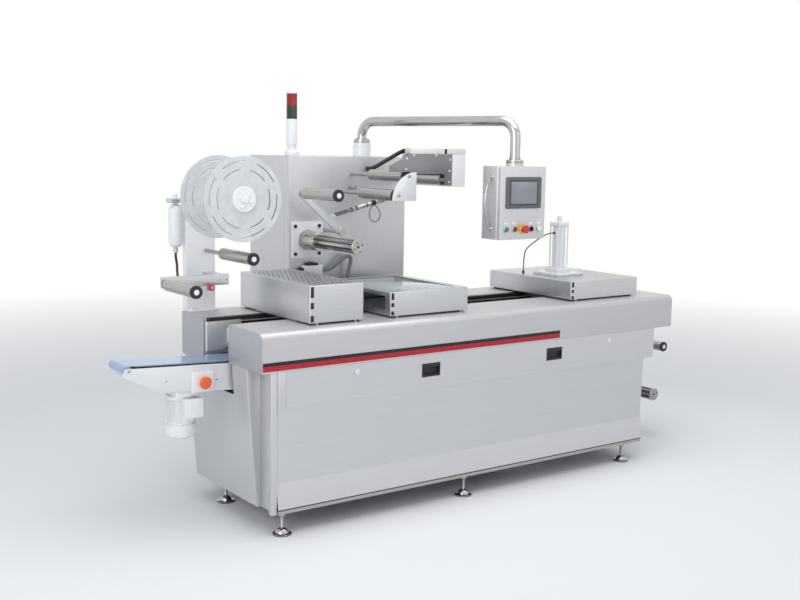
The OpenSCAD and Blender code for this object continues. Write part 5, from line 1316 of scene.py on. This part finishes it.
build("boxShell", boxShell, brushedUp, "box", ["control_box"])
build("boxLid", boxLid, brushedUp, "box")
build("boxSeal", lambda bm: addPlate(bm, roundRect(1100, 1286, 1382, 1630, 7, 4), "y", -128.4, -126.8),
      rubber, "box")
build("bowHandle", bowHandle, polished, "box")


def panelFrame(bm):
    addPlate(bm, roundRect(1129, 1432, 1353, 1583, 8, 4), "y", -155.85, box["face"], 1.6, 3)
    cutter = bmesh.new()
    addPlate(cutter, roundRect(1158, 1454, 1324, 1561, 3, 3), "y", -160, -154.6)
    return cutAway(bm, cutter)


def screenPane(bm):
    addPlate(bm, roundRect(1158.2, 1454.2, 1323.8, 1560.8, 3, 3), "y", -155.2, -154.4, 0.2)


def screenRim(bm):
    x0, x1, z0, z1, wide = 1152, 1330, 1449, 1566, 3.5
    for low, high in (((x0, z0), (x1, z0 + wide)), ((x0, z1 - wide), (x1, z1)), ((x0, z0), (x0 + wide, z1)),
                      ((x1 - wide, z0), (x1, z1))):
        addBlock(bm, (low[0], -156.3, low[1]), (high[0], -155.2, high[1]), 0.3)


build("hmiFrame", panelFrame, panelGrey, "box", ["hmi_panel"])
build("hmiScreen", screenPane, screenGlass, "box")
build("screenRim", screenRim, blackFoil, "box")

# Buttons in one row below the screen
buttonRow = {"green": 1135, "red": 1188, "stop": 1241, "selector": 1294, "lamp": 1347}
buttonLevel = 1333


def onFace(name, y, profile, sides=48, closed=False):
    # a turned part of one button, from the height y of its foot
    return lambda bm: addLathe(bm, (buttonRow[name], y, buttonLevel), toFront, profile, sides, closed)


def bezels(bm):
    profile = [(12.4, 0), (15, 0), (15, 4.6), (13.8, 6.4), (12.4, 6.4)]
    for name in buttonRow:
        onFace(name, box["face"], profile, closed=True)(bm)


def labels(bm):
    for name, x in buttonRow.items():
        if name != "stop":
            addBlock(bm, (x - 12, -150.85, 1352), (x + 12, -149.3, 1366), 0.5)


build("buttonBezels", bezels, polished, "box")
build("buttonLabels", labels, blastPlate, "box")
build("stopDisc", onFace("stop", box["face"], [(26, 0), (26, 1), (25.4, 1.5)], 56), estopYellow, "box")
cap = [(12, 0), (12, 5.6), (11, 6.7), (8.6, 6.7), (8, 6)]
for name, skin, slot in (("green", buttonGreen, "green"), ("red", buttonDark, "dark_red")):
    build(name + "Button", onFace(name, -153.2, cap), skin, name + "_button_body", [name + "_button"])
build("lampButton", onFace("lamp", -152, [(12, 0), (12, 7), (10.6, 8.4), (0, 8.8)]), whitePlastic, "box")


def stopKnob(bm):
    onFace("stop", -143.9, [(10.9, 0), (10.9, 24), (15, 24.2), (19, 26), (20, 29), (20, 35), (18.5, 38.2),
                            (14, 39.6), (0, 40)], 56)(bm)
    for x, z in ringOf(buttonRow["stop"], buttonLevel, 11, 3):
        addBlock(bm, (x - 1.6, -184.4, z - 1.6), (x + 1.6, -183, z + 1.6), 0.4)


def selector(bm):
    x, z = buttonRow["selector"], buttonLevel
    onFace("selector", -150.2, [(12, 0), (12, 8.4), (11, 9.6)])(bm)
    addBlock(bm, (x - 3, -169.85, z - 10.5), (x + 3, -159, z + 10.5), 1.6, 3)


def selectorMark(bm):
    addBlock(bm, (1293.3, -170.2, 1335), (1294.7, -169.4, 1342), 0.2)


build("stopKnob", stopKnob, buttonRed, "estop_body", ["estop_button"])
build("selectorKnob", selector, blackPlastic, "selector_body", ["selector_knob"])
build("selectorMark", selectorMark, whitePlastic, "selector_body")
print("control box done")


# Discharge conveyor, its two drum centres first
nose, tail = Vector((-590, 751.7)), Vector((34, 724))
beltWay = (tail - nose).normalized()


def conveyorPlate(y0, y1):
    points = filletPath([(-616, 727), (-616, 772), (60, 744), (60, 605), (-100, 605), (-443, 641)], 12)
    return lambda bm: addPlate(bm, points, "y", y0, y1, 0.8)


def conveyorBolts(bm):
    for x, z in (nose, tail):
        for y, side in ((275, -1), (464, 1)):
            addBolt(bm, (x, y, z), (0, side, 0), 7, 5)
    for x, z in ((-420, 690), (-180, 672), (20, 640), (20, 690)):
        addBolt(bm, (x, 275, z), toFront, 4, 3)


def conveyorTies(bm):
    for x, z in ((-440, 690), (-180, 660), (30, 650)):
        addRod(bm, (x, 283, z), (x, 456, z), 8, 0.6)
    up = Vector((-beltWay.y, beltWay.x))
    a, b = nose + beltWay * 30, tail - beltWay * 30
    shape = [tuple(p + up * high) for p, high in ((a, 17), (b, 17), (b, 14), (a, 14))]
    addPlate(bm, shape, "y", 288, 451, 0.4)


build("conveyorPlateFront", conveyorPlate(275, 283), powderCoat, "machine", ["conveyor_frame"])
build("conveyorPlateRear", conveyorPlate(456, 464), powderCoat, "machine")
build("conveyorBolts", conveyorBolts, polished, "machine")
build("conveyorTies", conveyorTies, turned, "machine")


def conveyorBelt(bm):
    up = math.atan2(beltWay.y, beltWay.x) + math.pi / 2
    rows = []
    for r, y in ((18.25, 284), (20.2, 284), (20.2, 284.8), (20.2, 454.2), (20.2, 455), (18.25, 455)):
        loop = arcOf(*nose, r, up, up + math.pi, 16) + arcOf(*tail, r, up - math.pi, up, 16)
        rows.append([bm.verts.new((x, y, z)) for x, z in loop])
    for a, b in zip(rows, rows[1:] + rows[:1]):
        for i in range(len(a)):
            j = (i + 1) % len(a)
            bm.faces.new((a[i], a[j], b[j], b[i]))


build("conveyorBelt", conveyorBelt, beltSkin, "machine", ["conveyor_belt"])


# Conveyor motor with its fan cowl
motor = {"at": (-314, 365), "ribs": 40, "ribFoot": (57, 1.3), "ribEdge": (65, 0.78)}


def motorGear(bm):
    addPlate(bm, roundRect(-369, 285, -259, 454, 10, 3), "z", 605, 640.7, 2.5)
    addLathe(bm, (*motor["at"], 587), toTop, [(66, 0), (68, 2), (68, 16), (66, 18.5)], 64)
    for spot in ringOf(*motor["at"], 60, 4, math.pi / 4):
        addBolt(bm, (*spot, 587), toFloor, 5, 4)


def motorBody(bm):
    # cooling ribs all round, but none behind the terminal box
    centre = Vector(motor["at"])
    (foot, wide), (edge, slim) = motor["ribFoot"], motor["ribEdge"]
    corners = ((foot, wide), (foot, -wide), (edge, -slim), (edge, slim))
    addRod(bm, (*centre, 470), (*centre, 590), 59, 1)
    for way in ringOf(0, 0, 1, motor["ribs"]):
        way = Vector(way)
        side = Vector((-way.y, way.x))
        if way.y > -0.93:
            addPlate(bm, [tuple(centre + way * r + side * w) for r, w in corners], "z", 484, 587)


def motorCowl(bm):
    profile = [(44, 408), (56, 411.2), (65, 418.6), (70, 430), (70, 470), (66, 470), (66, 474)]
    addLathe(bm, (*motor["at"], 0), toTop, profile, 72)
    for x, y in ringOf(*motor["at"], 32, 12):
        addBlock(bm, (x - 3, y - 3, 407), (x + 3, y + 3, 409), 0.5)


def terminalBox(bm):
    addBlock(bm, (-335, 262, 515), (-253, 320, 597), 4, 3)
    addBlock(bm, (-337, 258, 513), (-251, 263.5, 599), 2.5, 3)
    for x, z in product((-329, -259), (521, 591)):
        addBolt(bm, (x, 258, z), toFront, 3.6, 1.5)
    addLathe(bm, (-294, 290, 515), toFloor, [(11, 0), (11, 5), (8.5, 6), (8.5, 16)], 24)


build("motorGear", motorGear, motorPaint, "machine", ["conveyor_motor"])
build("motorBody", motorBody, motorPaint, "machine")
build("motorCowl", motorCowl, motorPaint, "machine")
build("terminalBox", terminalBox, motorPaint, "machine")


def switchBox(bm):
    addBlock(bm, (-303.5, 262.7, 624), (-198.5, 274.7, 716), 3.5, 3)
    collar = [(12.3, 0), (19, 0), (19, 1.6), (17, 3), (12.3, 3)]
    addLathe(bm, (-251, 262.9, 670), toFront, collar, 40, closed=True)
    for x, z in product((-296, -206), (631, 709)):
        addBolt(bm, (x, 262.7, z), toFront, 3, 1.2)


mushroom = [(11.9, 0), (11.9, 20), (22, 21), (27, 24), (28, 28), (28, 34), (25, 38.6), (18, 40)]
build("switchBox", switchBox, whitePlastic, "machine")
build("conveyorKnob", lambda bm: addLathe(bm, (-251, 268.7, 670), toFront, mushroom, 56), knobOrange,
      "conveyor_knob_body", ["conveyor_knob"])
print("conveyor done")

# Solids that show as they are, in their own finishes
ownFinish = {"base_frame": frameTube, "drive_units": drivePaint, "upper_tools": toolPlate,
             "forming_die": toolPlate, "sealing_die": toolPlate, "cross_cutter": toolPlate,
             "drive_shaft": turned, "conveyor_drum": turned, "tail_drum": turned}
for node, skin in ownFinish.items():
    for place in bpy.data.objects[node].material_slots:
        place.material = skin

# Studio: a pale floor that fades into the white ground, soft lamps on a plain level
floorMesh = bpy.data.meshes.new("floor")
floorMesh.from_pydata([(-60, -60, 0), (60, -60, 0), (60, 60, 0), (-60, 60, 0)], [], [(0, 1, 2, 3)])
floor = bpy.data.objects.new("floor", floorMesh)
show(floor)


def floorPaint():
    material = bpy.data.materials.new("paleStudioFloor")
    material.use_nodes = True
    tree = material.node_tree
    shader = tree.nodes["Principled BSDF"]
    shader.inputs["Base Color"].default_value = linear("f0f1f3")
    shader.inputs["Roughness"].default_value = 0.85
    where = addNode(tree, "TexCoord").outputs["Object"]
    moved = addNode(tree, "VectorMath", {0: where, 1: (-1.2, -0.4, 0)}, operation="ADD").outputs["Vector"]
    away = addNode(tree, "VectorMath", {0: moved}, operation="LENGTH").outputs["Value"]
    fade = addNode(tree, "MapRange", {"Value": away, "From Min": 3.0, "From Max": 8.0}).outputs["Result"]
    ground = addNode(tree, "Emission", {"Color": linear("ffffff"), "Strength": 1.0}).outputs["Emission"]
    mixed = addNode(tree, "MixShader", {0: fade, 1: shader.outputs["BSDF"], 2: ground}).outputs["Shader"]
    tree.links.new(mixed, tree.nodes["Material Output"].inputs["Surface"])
    return material


floorMesh.materials.append(floorPaint())


def studioWorld():
    world = bpy.data.worlds.new("studio")
    world.use_nodes = True
    tree = world.node_tree
    tree.nodes.clear()
    light = addNode(tree, "Background", {"Color": linear("eef2f8"), "Strength": 0.55}).outputs["Background"]
    ground = addNode(tree, "Background", {"Color": linear("ffffff"), "Strength": 1.0}).outputs["Background"]
    rays = addNode(tree, "LightPath")
    seen = rays.outputs["Is Camera Ray"]
    for kind in ("Is Glossy Ray", "Is Transmission Ray"):
        seen = addNode(tree, "Math", {0: seen, 1: rays.outputs[kind]}, operation="MAXIMUM").outputs[0]
    mixed = addNode(tree, "MixShader", {0: seen, 1: light, 2: ground}).outputs["Shader"]
    end = addNode(tree, "OutputWorld")
    tree.links.new(mixed, end.inputs["Surface"])
    bpy.context.scene.world = world


def softLamp(name, at, to, size, power):
    lamp = bpy.data.lights.new(name, "AREA")
    lamp.shape, lamp.size, lamp.size_y, lamp.energy = "RECTANGLE", size[0], size[1], power
    holder = bpy.data.objects.new(name, lamp)
    show(holder)
    aim = (Vector(to) - Vector(at)).to_track_quat("-Z", "Y")
    holder.matrix_world = Matrix.Translation(at) @ aim.to_matrix().to_4x4()


studioWorld()
softLamp("topLamp", (1.2, -0.6, 4.6), (1.2, 0.3, 0.8), (5, 4), 105)
softLamp("leftLamp", (-4.2, -2.4, 2.6), (0.2, 0.2, 1.0), (3, 3), 90)
softLamp("frontLamp", (3.4, -5.0, 2.8), (1.4, 0.2, 1.0), (3, 2.5), 12)
bpy.context.scene.view_settings.view_transform = "Standard"
print("studio done")
